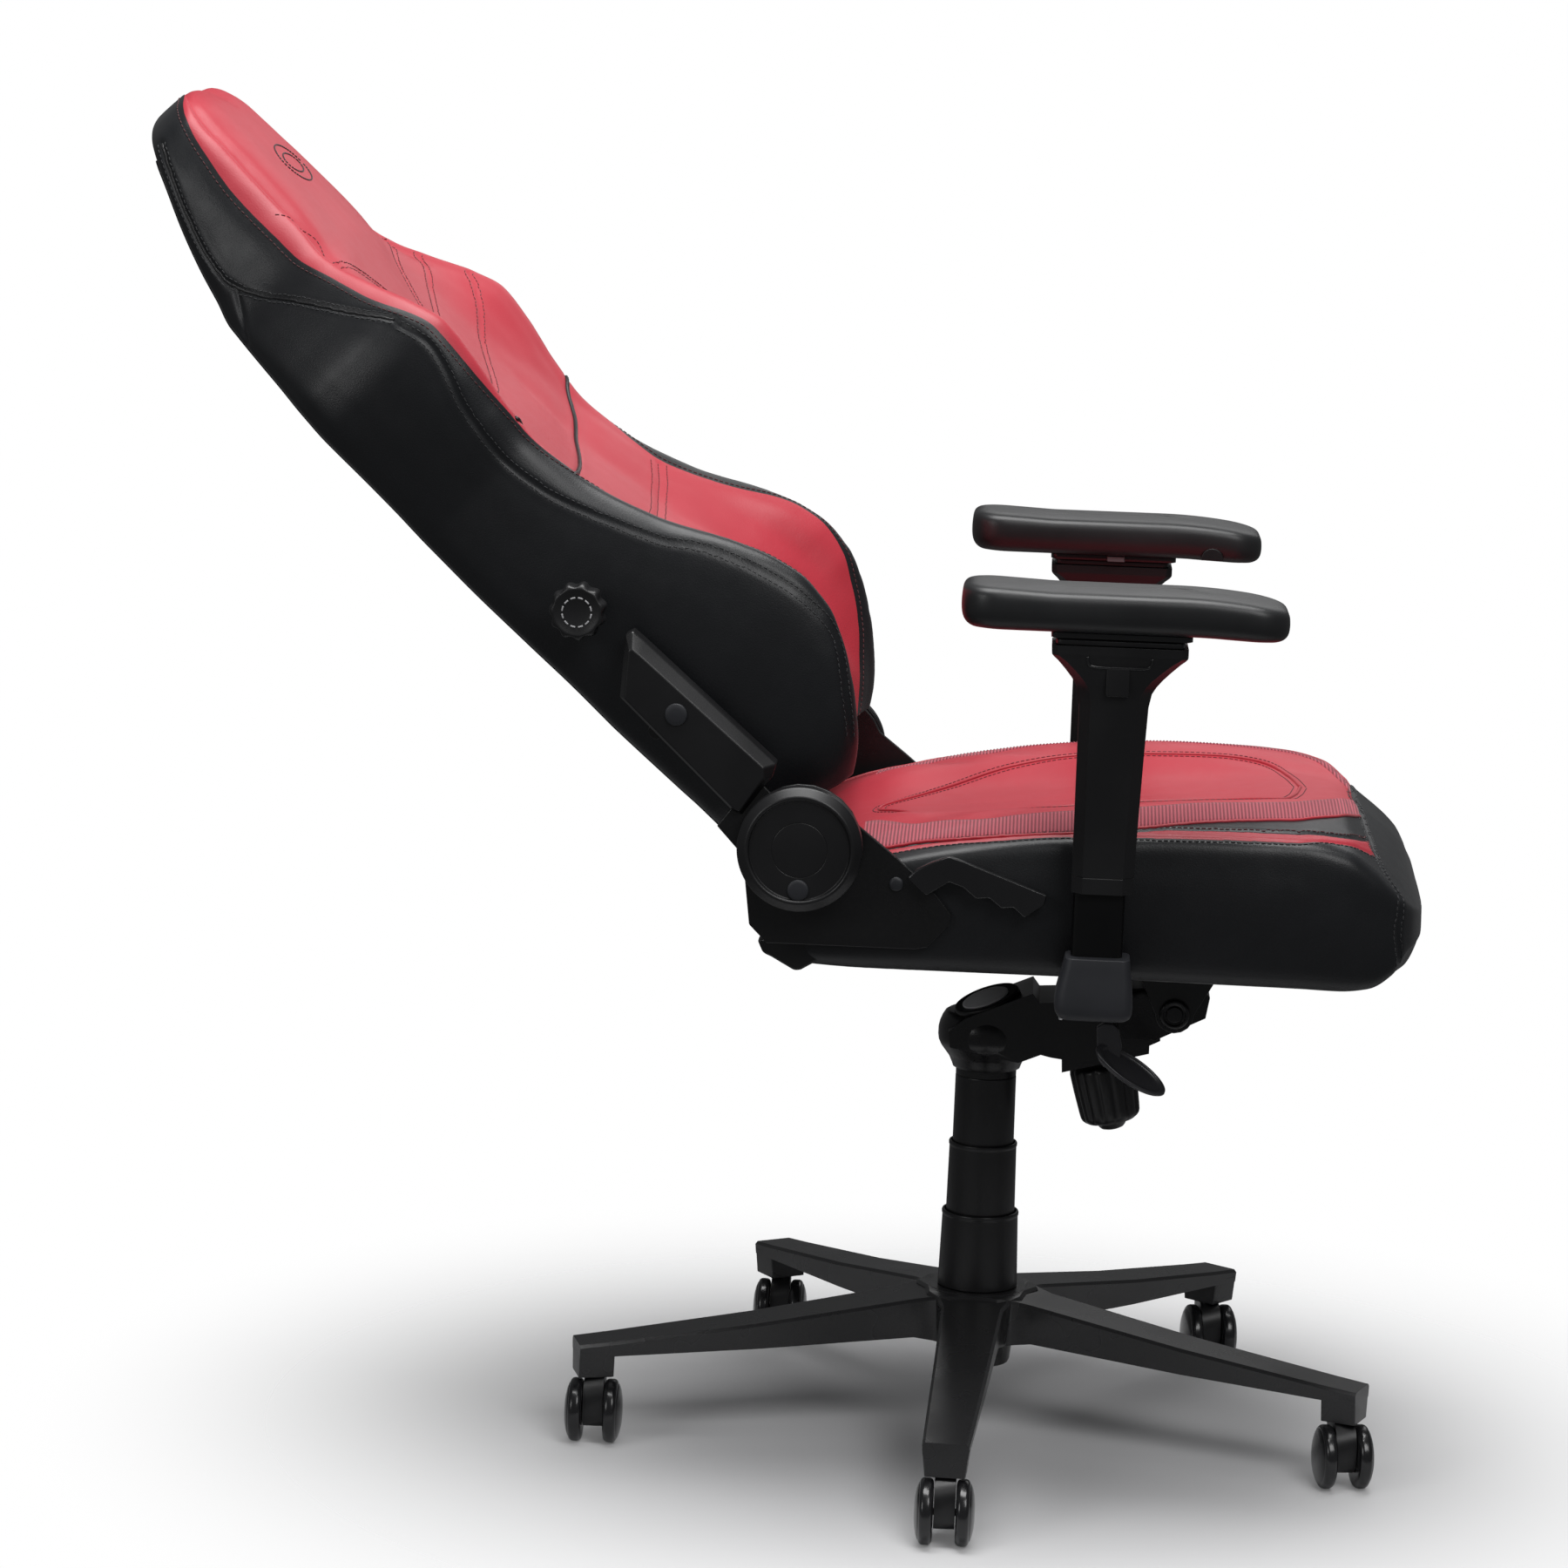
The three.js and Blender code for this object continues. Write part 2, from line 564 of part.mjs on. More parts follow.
/** Back outline from the hinge upwards: [height, half width, rear, centre front, wing front], front is positive. */
const BACK_STATIONS = [
  [8, 218, -38, 50, 76],
  [24, 226, -44, 58, 96],
  [48, 233, -49, 66, 120],
  [72, 236, -49, 70, 138],
  [97, 238, -50, 74, 149],
  [122, 239, -51, 77, 155],
  [148, 240, -52, 79, 155],
  [178, 240, -53, 80, 147],
  [208, 240, -53, 79, 134],
  [276, 239, -55, 70, 98],
  [347, 236, -57, 60, 76],
  [BACK_SPLIT_LOW, 235, -57, 58, 72],
  [430, 242, -55, 60, 77],
  [474, 249, -54, 64, 86],
  [508, 251, -54, 68, 90],
  [537, 246, -53, 69, 82],
  [573, 228, -52, 66, 66],
  [609, 206, -52, 60, 52],
  [BACK_SPLIT_HIGH, 190, -52, 58, 48],
  [655, 180, -46, 58, 48],
  [680, 171, -40, 58, 47],
  [717, 161, -28, 58, 47],
  [754, 151, -13, 58, 48],
  [782, 138, -2, 58, 49],
  [798, 116, 6, 56, 50],
  [807, 84, 15, 52, 48],
  [811, 48, 26, 44, 42],
];

function backRing([height, half, rear, centre, wing], lift = () => 0) {
  const depth = wing - rear;
  const rightHalf = [
    [0, rear + 4], [0.55 * half, rear + 4], [0.9 * half, rear + 5], [0.975 * half, rear + 0.1 * depth + 3],
    [half, rear + 0.3 * depth], [half, wing - 0.3 * depth], [0.975 * half, wing - 0.1 * depth],
    [0.93 * half, wing], [0.85 * half, wing - 0.03 * depth], [0.72 * half, centre + 0.45 * (wing - centre)],
    [0.56 * half, centre], [0, centre],
  ];
  const leftHalf = rightHalf.slice(1, -1).reverse().map(([x, front]) => [-x, front]);
  return [...rightHalf, ...leftHalf].map(([x, front]) => new THREE.Vector3(x, -front, height + lift(front)));
}

/** Foam between two heights; the station at a split is pulled in by half a gap. */
function backFoam(from, to) {
  const stations = BACK_STATIONS.filter(([height]) => height >= from && height <= to);
  const rings = stations.map((station) => backRing(station));
  rings[0].forEach((point) => point.setZ(point.z + GAP));
  return loft(rings);
}

function lowerCushion() {
  const first = backRing(BACK_STATIONS[0], (front) => 0.3 * (50 - front));
  const rings = BACK_STATIONS.filter(([height]) => height > 40 && height <= BACK_SPLIT_LOW);
  const skin = loft([first, ...rings.map((station) => backRing(station))]);
  const pocket = block([-195, -12, 60], [195, 70, BACK_SPLIT_LOW + 5]);
  const frameHoles = [-1, 1].map((side) => crossRod(8.5, side * 180, side * 300, -FRAME_STUB.front, FRAME_STUB.height, 16));
  const knobHole = crossRod(5.6, -180, -300, -LUMBAR.front, LUMBAR.height, 16);
  return cut(skin, pocket, ...frameHoles, knobHole);
}

function upperCushion() {
  const pocket = block([-195, 10, BACK_SPLIT_LOW - 5], [195, 70, 585]);
  return cut(backFoam(BACK_SPLIT_LOW, BACK_SPLIT_HIGH), pocket);
}

/** Flat-bar frame inside the foam, with a stub to each back bracket. */
function backFrame() {
  const ring = (halfWidth, low, high) =>
    roundedPairs(halfWidth, (high - low) / 2, 30).map(([a, b]) => new THREE.Vector2(a, b + (low + high) / 2));
  const shape = new THREE.Shape(ring(188, 66, 578));
  shape.holes.push(new THREE.Path(ring(164, 92, 552)));
  const bars = new THREE.ExtrudeGeometry(shape, { depth: 14, bevelEnabled: false });
  bars.rotateX(Math.PI / 2).translate(0, 28, 0);
  const stubs = [-1, 1].map((side) =>
    crossRod(7, side * 176, side * (BACK_BRACKET.inner - 20), -FRAME_STUB.front, FRAME_STUB.height, 16));
  return join(bars, ...stubs);
}

/** Thin rear cover that follows the back's rear surface. */
function rearPanel() {
  const stations = BACK_STATIONS.filter(([height]) => height > 40 && height < 790);
  return loft(stations.map(([height, half, rear]) => [
    [-0.88 * half, rear + 1], [-0.5 * half, rear], [0.5 * half, rear], [0.88 * half, rear + 1],
    [0.88 * half, rear + 3.4], [-0.88 * half, rear + 3.4],
  ].map(([x, front]) => new THREE.Vector3(x, -front, height))));
}

/** Bracket from the recliner up the side of the back, with a bevelled front edge. */
function backBracket(side) {
  const inner = BACK_BRACKET.inner - 19;
  const outline = (inset) => [
    [19 - 0.3 * inset, 52 + inset], [19, 190], [-18, 222], [-27, 223 - inset], [-28 + inset, 210], [-33 + inset, 60],
    [-24 + inset, 54 + inset],
  ];
  const arm = loft([[inner, 0], [BACK_BRACKET.outer - 8, 0], [BACK_BRACKET.outer, 8]].map(([x, inset]) =>
    outline(inset).map(([y, z]) => new THREE.Vector3(side * x, y, z))));
  const disc = crossRod(45, side * BACK_BRACKET.inner, side * (HINGE_COVER.inner - GAP), 0, 0, 24);
  const neck = sidePlate([[15, 0], [-28, 0], [-28, 70], [15, 70]],
    side * BACK_BRACKET.inner, side * (HINGE_COVER.inner - GAP));
  return join(arm, disc, neck);
}

/** Lobed knob on the sitter's right, with its spindle into the back. */
function lumbarKnob() {
  const lobes = 8;
  const levels = [[258, 16, 0], [264, 17, 0], [264.5, 21, 1], [268, 24, 2], [284, 23.5, 2], [288, 20.5, 1.2]];
  const rings = levels.map(([x, radius, depth]) => Array.from({ length: 4 * lobes }, (_, i) => {
    const angle = (2 * Math.PI * i) / (4 * lobes);
    const reach = radius - depth * (0.5 - 0.5 * Math.cos(lobes * angle));
    return new THREE.Vector3(-x, -LUMBAR.front + reach * Math.cos(angle), LUMBAR.height + reach * Math.sin(angle));
  }));
  return join(loft(rings), crossRod(5, -120, -262, -LUMBAR.front, LUMBAR.height, 16));
}

/** Curved plate that pushes the lumbar foam forward. */
function lumbarPlate() {
  const columns = [-110, -60, 0, 60, 110];
  const bow = (x) => 3 - 3 * (x / 110) ** 2;
  const outline = [...columns.map((x) => [x, -bow(x) + 1]), ...[...columns].reverse().map((x) => [x, -bow(x) + 4])];
  return loft([120, 245].map((height) => outline.map(([x, y]) => new THREE.Vector3(x, y, height))));
}

function addBackrest(chair) {
  const back = new THREE.Group();
  back.position.set(0, HINGE.y, HINGE.z);
  back.rotation.x = radians(-RECLINE);
  chair.add(back);
  add(back, "back_lower_cushion", lowerCushion(), LOOKS.redLeather);
  add(back, "back_upper_cushion", upperCushion(), LOOKS.redLeather);
  add(back, "head_cushion", backFoam(BACK_SPLIT_HIGH, 900), LOOKS.blackLeather);
  add(back, "back_frame", backFrame(), LOOKS.paintedSteel);
  add(back, "rear_panel", rearPanel(), LOOKS.blackLeather);
  add(back, "back_bracket_right", backBracket(-1), LOOKS.paintedSteel);
  add(back, "back_bracket_left", backBracket(1), LOOKS.paintedSteel);
  add(back, "lumbar_knob", lumbarKnob(), LOOKS.blackPlastic);
  add(back, "lumbar_plate", lumbarPlate(), LOOKS.blackPlastic);
}

// ---------------------------------------------------------------- arms

/** Outer sleeve: hollow for the post, flaring into a head that carries the pad. */
function armSleeve(side) {
  const skin = tower(side * ARM_POST_X, [
    [SLEEVE_BOTTOM, 18, 25, 6, -89], [600, 18.5, 26, 6, -90], [695, 19, 28, 6, -92], [707, 20, 31, 6, -93],
    [720, 23, 41, 6, -94], [731, 26, 52, 5, -95], [735, 27, 55, 4, -95], [SLEEVE_TOP, 27, 55, 4, -95],
  ]);
  const hollow = tower(side * ARM_POST_X, [
    [SLEEVE_BOTTOM - 5, 11.6, 21.6, 5, ARM_Y], [712, 11.6, 21.6, 5, ARM_Y],
  ], 2);
  const buttonSlot = block(
    [Math.min(side * 303, side * 330), -104, 701], [Math.max(side * 303, side * 330), -84, 727]);
  return cut(skin, hollow, buttonSlot);
}

/** Height trigger, set in the outer face of the sleeve's head. */
function heightButton(side) {
  const [near, far] = [side * 305.5, side * 315];
  return block([Math.min(near, far), -103.5, 701.5], [Math.max(near, far), -84.5, 726.5]);
}

/** Turntable on the sleeve; it carries the fore-and-aft slide. */
function pivotPlate(side) {
  return tower(side * ARM_POST_X, [[SLEEVE_TOP + GAP, 26, 52, 6, -95], [747, 26, 52, 6, -95]]);
}

/** Plate that slides fore and aft, with the slot of the release button in its inner edge. */
function slidePlate(side) {
  const plate = tower(side * (ARM_PAD_X + 1), [[747 + GAP, 30, 66, 6, -98], [PAD_BOTTOM - GAP, 30, 66, 6, -98]]);
  const [near, far] = [side * 250, side * 268];
  return cut(plate, block([Math.min(near, far), -106.5, 740], [Math.max(near, far), -89.5, 760]));
}

/** Small release button in the slide plate's inner edge. */
function slideButton(side) {
  const [near, far] = [side * 252, side * 266];
  return block([Math.min(near, far), -106, 747 + 2 * GAP], [Math.max(near, far), -90, PAD_BOTTOM - 2 * GAP]);
}

/** Soft pad: a rounded bar that droops a little at the front. */
function armPad(side) {
  const droop = (y) => Math.max(0, (-y - 150) / 90) ** 2 * 9;
  const levels = [
    [0, 38, 122, 22], [3, 44, 128, 24], [10, 49, 132, 26], [22, 50, 132.5, 26], [29, 46, 129, 24], [33, 39, 122, 20],
    [34.5, 30, 112, 16], [34.5, 24, 50, 10],
  ];
  const rings = levels.map(([rise, halfX, halfY, radius]) => roundedPairs(halfX, halfY, radius, 4).map(([a, b]) => {
    const y = PAD_CENTRE_Y + b;
    const sag = (rise / 34.5) * droop(y);
    return new THREE.Vector3(side * ARM_PAD_X + a, y, PAD_BOTTOM + rise - sag);
  }));
  const slot = padButtonShape(side, 0.5, 11);
  return cut(loft(rings), slot);
}

/** Half-round thumb button low on the pad's inner side, near the front. */
function padButtonShape(side, grow, depth) {
  const outline = [
    ...arcPairs(-185, PAD_BOTTOM + 2, 10 + grow, 0, 180, 10), [-195 - grow, PAD_BOTTOM + 1 - 8 * grow],
    [-175 + grow, PAD_BOTTOM + 1 - 8 * grow],
  ];
  const inner = ARM_PAD_X - PAD_WIDTH / 2;
  return sidePlate(outline, side * (inner - (grow ? 5 : 0)), side * (inner + depth));
}

function addArms(chair) {
  [[-1, "right"], [1, "left"]].forEach(([side, name]) => {
    add(chair, `arm_sleeve_${name}`, armSleeve(side), LOOKS.blackPlastic);
    add(chair, `arm_height_button_${name}`, heightButton(side), LOOKS.blackPlastic);
    add(chair, `arm_pivot_plate_${name}`, pivotPlate(side), LOOKS.blackPlastic);
    add(chair, `arm_slide_plate_${name}`, slidePlate(side), LOOKS.blackPlastic);
    add(chair, `arm_slide_button_${name}`, slideButton(side), LOOKS.greyPlastic);
    add(chair, `arm_pad_${name}`, armPad(side), LOOKS.armFoam);
    add(chair, `arm_pad_button_${name}`, padButtonShape(side, 0, 7), LOOKS.blackPlastic);
  });
}

// ---------------------------------------------------------------- assembly

const chair = new THREE.Group();
add(chair, "star_base", starBase(), LOOKS.paintedAluminium);
addCasters(chair);
addColumn(chair);
addMechanism(chair);
addSeat(chair);
addBackrest(chair);
addArms(chair);

export default chair;
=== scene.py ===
"""Looks of a reclining gaming chair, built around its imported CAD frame.

Lengths inside this file are millimetres and become metres when a mesh is made.
The sitter faces -Y, +X is the sitter's left, and the floor is z = 0.
"""

import json
import math

import bmesh
import bpy
import numpy as np
from mathutils import Matrix, Vector
from mathutils.bvhtree import BVHTree
from mathutils.kdtree import KDTree


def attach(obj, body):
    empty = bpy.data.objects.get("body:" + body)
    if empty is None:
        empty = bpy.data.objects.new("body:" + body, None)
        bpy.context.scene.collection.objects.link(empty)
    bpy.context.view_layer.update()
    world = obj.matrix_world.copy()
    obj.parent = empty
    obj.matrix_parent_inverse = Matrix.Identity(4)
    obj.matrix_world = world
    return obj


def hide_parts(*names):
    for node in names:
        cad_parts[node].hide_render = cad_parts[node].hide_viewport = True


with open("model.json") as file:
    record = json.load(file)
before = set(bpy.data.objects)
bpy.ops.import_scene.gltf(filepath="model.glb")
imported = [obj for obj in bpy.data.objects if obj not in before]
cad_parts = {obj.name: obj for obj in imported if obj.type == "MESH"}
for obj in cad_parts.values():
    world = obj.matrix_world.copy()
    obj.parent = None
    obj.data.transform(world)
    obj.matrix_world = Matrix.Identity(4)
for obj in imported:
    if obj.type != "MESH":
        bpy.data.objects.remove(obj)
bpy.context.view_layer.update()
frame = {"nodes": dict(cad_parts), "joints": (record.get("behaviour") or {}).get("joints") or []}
JOINTS = {joint["name"]: joint for joint in frame["joints"]}
NODES = frame["nodes"]
MM = 0.001
SIDES = ((-1, "right"), (1, "left"))


# ---------------------------------------------------------------- small tools

def joint_place(name):
    """Where a joint's axis is, in millimetres."""
    return np.array(JOINTS[name]["pos_m"]) / MM


HINGE = joint_place("recline")
UP_BACK = (joint_place("lumbar_knob_turn") - HINGE)[1:]
RECLINE = math.atan2(6, 265) + math.atan2(UP_BACK[0], UP_BACK[1])  # from upright
ALONG = np.array([0, math.sin(RECLINE), math.cos(RECLINE)])
FORWARD = np.array([0, -math.cos(RECLINE), math.sin(RECLINE)])


def on_back(x, forward, along):
    """A point of the backrest from its own frame: out, forward and along from the hinge."""
    return np.array([x, HINGE[1], HINGE[2]]) + FORWARD * forward + ALONG * along


class Track:
    """Smooth function through stations that doesn't overshoot them."""

    def __init__(self, places, values):
        order = np.argsort(places)
        self.x = np.array(places, float)[order]
        self.y = np.array(values, float)[order]
        step = np.diff(self.x)
        rise = np.diff(self.y) / step
        self.m = np.concatenate([[rise[0]], np.zeros(len(step) - 1), [rise[-1]]])
        for i in range(1, len(step)):
            if rise[i - 1] * rise[i] > 0:
                wa = 2 * step[i] + step[i - 1]
                wb = step[i] + 2 * step[i - 1]
                self.m[i] = (wa + wb) / (wa / rise[i - 1] + wb / rise[i])

    def __call__(self, place):
        t = np.clip(place, self.x[0], self.x[-1])
        i = np.clip(np.searchsorted(self.x, t) - 1, 0, len(self.x) - 2)
        h = self.x[i + 1] - self.x[i]
        s = (t - self.x[i]) / h
        return ((1 + 2 * s) * (1 - s) ** 2 * self.y[i] + s * (1 - s) ** 2 * h * self.m[i]
                + s * s * (3 - 2 * s) * self.y[i + 1] + s * s * (s - 1) * h * self.m[i + 1])


def tracks(stations):
    """One Track per column of a list of stations whose first column is the place."""
    table = np.array(stations, float)
    return [Track(table[:, 0], table[:, i]) for i in range(1, table.shape[1])]


def smooth_path(points, spacing, closed=False):
    """Points along a smooth curve through the given ones, evenly spaced."""
    given = np.array(points, float)
    if closed:
        given = np.vstack([given[-1:], given, given[:2]])
    else:
        given = np.vstack([2 * given[0] - given[1], given, 2 * given[-1] - given[-2]])
    dense = []
    for a, b, c, d in zip(given, given[1:], given[2:], given[3:]):
        for t in np.linspace(0, 1, 12, endpoint=False):
            dense.append(0.5 * (2 * b + (c - a) * t + (2 * a - 5 * b + 4 * c - d) * t * t
                                + (3 * b - a - 3 * c + d) * t ** 3))
    if not closed:
        dense.append(given[-2])
    return even(np.array(dense), spacing, closed)


def run_of(line):
    """Length along a line at each of its points."""
    return np.concatenate([[0], np.cumsum(np.linalg.norm(np.diff(line, axis=0), axis=1))])


def even(line, spacing, closed=False):
    """The same line with evenly spaced points."""
    line = np.vstack([line, line[:1]]) if closed else line
    run = run_of(line)
    count = max(2, int(round(run[-1] / spacing)) + 1)
    places = np.linspace(0, run[-1], count)
    out = np.stack([np.interp(places, run, line[:, k]) for k in range(line.shape[1])], 1)
    return out[:-1] if closed else out


# ---------------------------------------------------------------- materials

class Look:
    """A material textured in object coordinates."""

    def __init__(self, name, colour, roughness, stretch=(1, 1, 1), **sockets):
        self.material = bpy.data.materials.new(name)
        self.material.use_nodes = True
        self.tree = self.material.node_tree
        self.surface = self.tree.nodes["Principled BSDF"]
        self.surface.inputs["Base Color"].default_value = (*colour, 1)
        self.surface.inputs["Roughness"].default_value = roughness
        for socket, value in sockets.items():
            self.surface.inputs[socket.replace("_", " ")].default_value = value
        coordinates = self.node("TexCoord").outputs["Object"]
        self.place = self.node("Mapping", Vector=coordinates, Scale=stretch).outputs["Vector"]

    def node(self, kind, **inputs):
        """A new node; each input is a value or the socket that feeds it."""
        node = self.tree.nodes.new("ShaderNode" + kind)
        for name, value in inputs.items():
            socket = node.inputs[name.replace("_", " ")]
            if isinstance(value, bpy.types.NodeSocket):
                self.tree.links.new(value, socket)
            else:
                socket.default_value = value
        return node

    def noise(self, scale, detail=3, rough=0.5):
        node = self.node("TexNoise", Vector=self.place, Scale=scale, Detail=detail, Roughness=rough)
        return node.outputs["Fac"]

    def gloss(self, value, low, high):
        """Roughness from low to high, steered by a 0 to 1 value."""
        node = self.node("MapRange", Value=value, From_Min=0.3, From_Max=0.7, To_Min=low, To_Max=high)
        self.tree.links.new(node.outputs["Result"], self.surface.inputs["Roughness"])

    def colours(self, value, dark, light):
        """Base colour from dark to light, steered by a 0 to 1 value."""
        node = self.node("ValToRGB", Fac=value)
        for element, position, colour in zip(node.color_ramp.elements, (0.35, 0.65), (dark, light)):
            element.position = position
            element.color = (*colour, 1)
        self.tree.links.new(node.outputs["Color"], self.surface.inputs["Base Color"])

    def bumps(self, *layers):
        """Stacks height layers of (value, distance in millimetres) and gives back the material."""
        normal = None
        for value, depth in layers:
            node = self.node("Bump", Strength=1, Distance=depth * MM, Height=value)
            if normal is not None:
                self.tree.links.new(normal, node.inputs["Normal"])
            normal = node.outputs["Normal"]
        self.tree.links.new(normal, self.surface.inputs["Normal"])
        return self.material


def tinted(colour, factor, lift=0.001):
    return [c * factor + lift for c in colour]


def leather(name, dark, light, roughness, sheen):
    """Coated upholstery: fine pebbled grain, faint wrinkles and uneven gloss."""
    look = Look(name, light, roughness[0], Specular_IOR_Level=0.42, Coat_Weight=0.06, Coat_Roughness=0.35,
                Sheen_Weight=sheen, Sheen_Roughness=0.45)
    wrinkles = look.noise(55, 4, 0.6)
    grain = look.node("TexVoronoi", Vector=look.place, Scale=900)
    grain.feature = "SMOOTH_F1"
    look.colours(look.noise(9), dark, light)
    look.gloss(wrinkles, *roughness)
    return look.bumps((wrinkles, 0.07), (grain.outputs["Distance"], 0.08), (look.noise(2200, 2), 0.03))


def ribbed_cloth(name, ridge, valley_shade):
    """Woven rib tape: painted shade darkens the valleys between the ribs, one band per rib along the chair;
    the ridges keep the cloth's own red.
    """
    look = Look(name, ridge, 0.7, Specular_IOR_Level=0.3, Sheen_Weight=0.25, Sheen_Roughness=0.5)
    wave = look.node("TexWave", Vector=look.place, Scale=RIB_WAVE_SCALE, Distortion=0.4, Detail_Scale=3)
    wave.bands_direction = "Y"
    thread = look.noise(1500, 2)
    # painted shade: the valley colour darkens the cloth between the ribs
    look.colours(wave.outputs["Fac"], valley_shade, ridge)
    look.gloss(thread, 0.62, 0.8)
    return look.bumps((thread, 0.12))


def moulded(name, colour, roughness, grain_depth=0.03, grain_scale=1500, coat=0.0, specular=0.5):
    """Moulded plastic: fine spark texture with slightly uneven gloss and tone."""
    look = Look(name, colour, roughness, Specular_IOR_Level=specular, Coat_Weight=coat, Coat_Roughness=0.12)
    broad = look.noise(14, 4)
    look.colours(broad, colour, tinted(colour, 1.25))
    look.gloss(broad, roughness - 0.04, roughness + 0.05)
    return look.bumps((look.noise(grain_scale, 2), grain_depth))


def metal(name, colour, roughness, metallic, stretch=(1, 1, 1), scale=400, depth=0.02):
    """Painted or bare metal with a fine orange-peel or brushed surface."""
    look = Look(name, colour, roughness, stretch, Metallic=metallic)
    peel = look.noise(scale)
    look.colours(peel, colour, tinted(colour, 1.2))
    look.gloss(look.noise(12), roughness - 0.05, roughness + 0.06)
    return look.bumps((peel, depth))


def thread_material(name, colour):
    look = Look(name, colour, 0.6, Sheen_Weight=0.2)
    twist = look.noise(1800, 2)
    look.colours(twist, tinted(colour, 0.6, 0), colour)
    return look.bumps((twist, 0.08))


def board_material(name, dark, light):
    """Stained board with its figure drawn out along X."""
    look = Look(name, dark, 0.6, (1, 14, 14))
    figure = look.noise(20, 5)
    look.colours(figure, dark, light)
    look.gloss(figure, 0.5, 0.7)
    return look.bumps((figure, 0.1))


RIB_PITCH = 3.0
RIB_WAVE_SCALE = 1000 / RIB_PITCH / 3.1831  # the wave texture has 3.1831 bands in a metre at scale 1
RED = leather("red_leather", (0.44, 0.031, 0.048), (0.48, 0.037, 0.056), (0.41, 0.46), 0.03)
BLACK = leather("black_leather", (0.0085, 0.009, 0.0105), (0.0105, 0.0115, 0.0135), (0.35, 0.41), 0.045)
# the second colour is painted shade for the rib valleys
RIBBED = ribbed_cloth("ribbed_tape", (0.47, 0.085, 0.115), (0.20, 0.026, 0.04))
PIPING_RED = leather("red_piping", (0.40, 0.02, 0.035), (0.48, 0.028, 0.045), (0.35, 0.45), 0.1)
PIPING_BLACK = leather("black_piping", (0.008, 0.008, 0.009), (0.012, 0.012, 0.013), (0.35, 0.45), 0.05)
THREAD_RED = thread_material("dark_red_thread", (0.10, 0.005, 0.011))
THREAD_BLACK = thread_material("black_thread", (0.02, 0.021, 0.024))
PLASTIC = moulded("black_plastic", (0.007, 0.007, 0.0078), 0.36)
GLOSS = moulded("gloss_plastic", (0.009, 0.009, 0.010), 0.22, 0.008, 900, 0.3)
BOOT = moulded("soft_boot_plastic", (0.018, 0.019, 0.023), 0.48)
GREY = moulded("grey_plastic", (0.13, 0.13, 0.135), 0.45)
MARK = moulded("mark_paint", (0.40, 0.40, 0.41), 0.5)
LIGHT_PLASTIC = moulded("light_grey_plastic", (0.62, 0.62, 0.63), 0.42)
LEVER = moulded("lever_plastic", (0.028, 0.028, 0.031), 0.30, 0.01, 900, 0.1)
PAD_SKIN = moulded("arm_pad_skin", (0.012, 0.0125, 0.0135), 0.38, 0.05, 1100)
POST = moulded("post_plastic", (0.0022, 0.0022, 0.0025), 0.3, 0.008, 900, 0.0, 0.3)
PAINT = metal("satin_black_paint", (0.006, 0.006, 0.0065), 0.30, 0.0)
BASE_PAINT = metal("powder_coat", (0.023, 0.023, 0.024), 0.27, 0.1, scale=900, depth=0.012)
STEEL = metal("ground_steel", (0.45, 0.45, 0.46), 0.3, 1.0, (1, 40, 40), 60, 0.01)
BOARD = board_material("stained_board", (0.02, 0.018, 0.017), (0.04, 0.036, 0.033))


# ---------------------------------------------------------------- mesh tools

def make(name, points, faces, materials, slots=None, smooth=True):
    """A mesh object from points in millimetres."""
    mesh = bpy.data.meshes.new(name)
    mesh.from_pydata((np.asarray(points, float) * MM).tolist(), [], [list(map(int, f)) for f in faces])
    for material in materials if isinstance(materials, (list, tuple)) else [materials]:
        mesh.materials.append(material)
    if slots is not None:
        mesh.polygons.foreach_set("material_index", np.asarray(slots, np.int32))
    mesh.polygons.foreach_set("use_smooth", [smooth] * len(mesh.polygons))
    mesh.validate()
    mesh.update()
    obj = bpy.data.objects.new(name, mesh)
    bpy.context.scene.collection.objects.link(obj)
    return obj


def finish_piece(obj, body, slot, *nodes):
    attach(obj, body)
    if nodes:
        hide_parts(*nodes)
    return obj


def bevelled(obj, width, segments=2, angle=35):
    """Rounds the hard edges and evens out the shading."""
    weld = obj.modifiers.new("weld", "WELD")
    weld.merge_threshold = 0.00002
    bevel = obj.modifiers.new("bevel", "BEVEL")
    bevel.width = width * MM
    bevel.segments = segments
    bevel.limit_method = "ANGLE"
    bevel.angle_limit = math.radians(angle)
    bevel.use_clamp_overlap = True
    obj.data.polygons.foreach_set("use_smooth", [True] * len(obj.data.polygons))
    normals = obj.modifiers.new("normals", "WEIGHTED_NORMAL")
    normals.keep_sharp = True
    return obj


def ring_faces(rings, sides, ends="capped"):
    """Faces between equal closed rings, whose ends are capped, open or joined to each other."""
    faces = []
    for r in range(rings if ends == "joined" else rings - 1):
        low = r * sides
        high = (r + 1) % rings * sides
        for s in range(sides):
            t = (s + 1) % sides
            faces.append((low + s, low + t, high + t, high + s))
    if ends == "capped":
        faces.append(tuple(range(sides))[::-1])
        faces.append(tuple((rings - 1) * sides + s for s in range(sides)))
    return faces


def recalculate(obj):
    """Makes a closed mesh face outwards."""
    mesh = bmesh.new()
    mesh.from_mesh(obj.data)
    bmesh.ops.recalc_face_normals(mesh, faces=mesh.faces)
    mesh.to_mesh(obj.data)
    mesh.free()
    return obj


def loft(name, rings, material, ends="capped"):
    """A piece through equal closed rings of points."""
    points = [point for ring in rings for point in ring]
    return recalculate(make(name, points, ring_faces(len(rings), len(rings[0]), ends), material))


def full_turn(count):
    """Evenly spaced angles of a full turn."""
    return [2 * math.pi * k / count for k in range(count)]


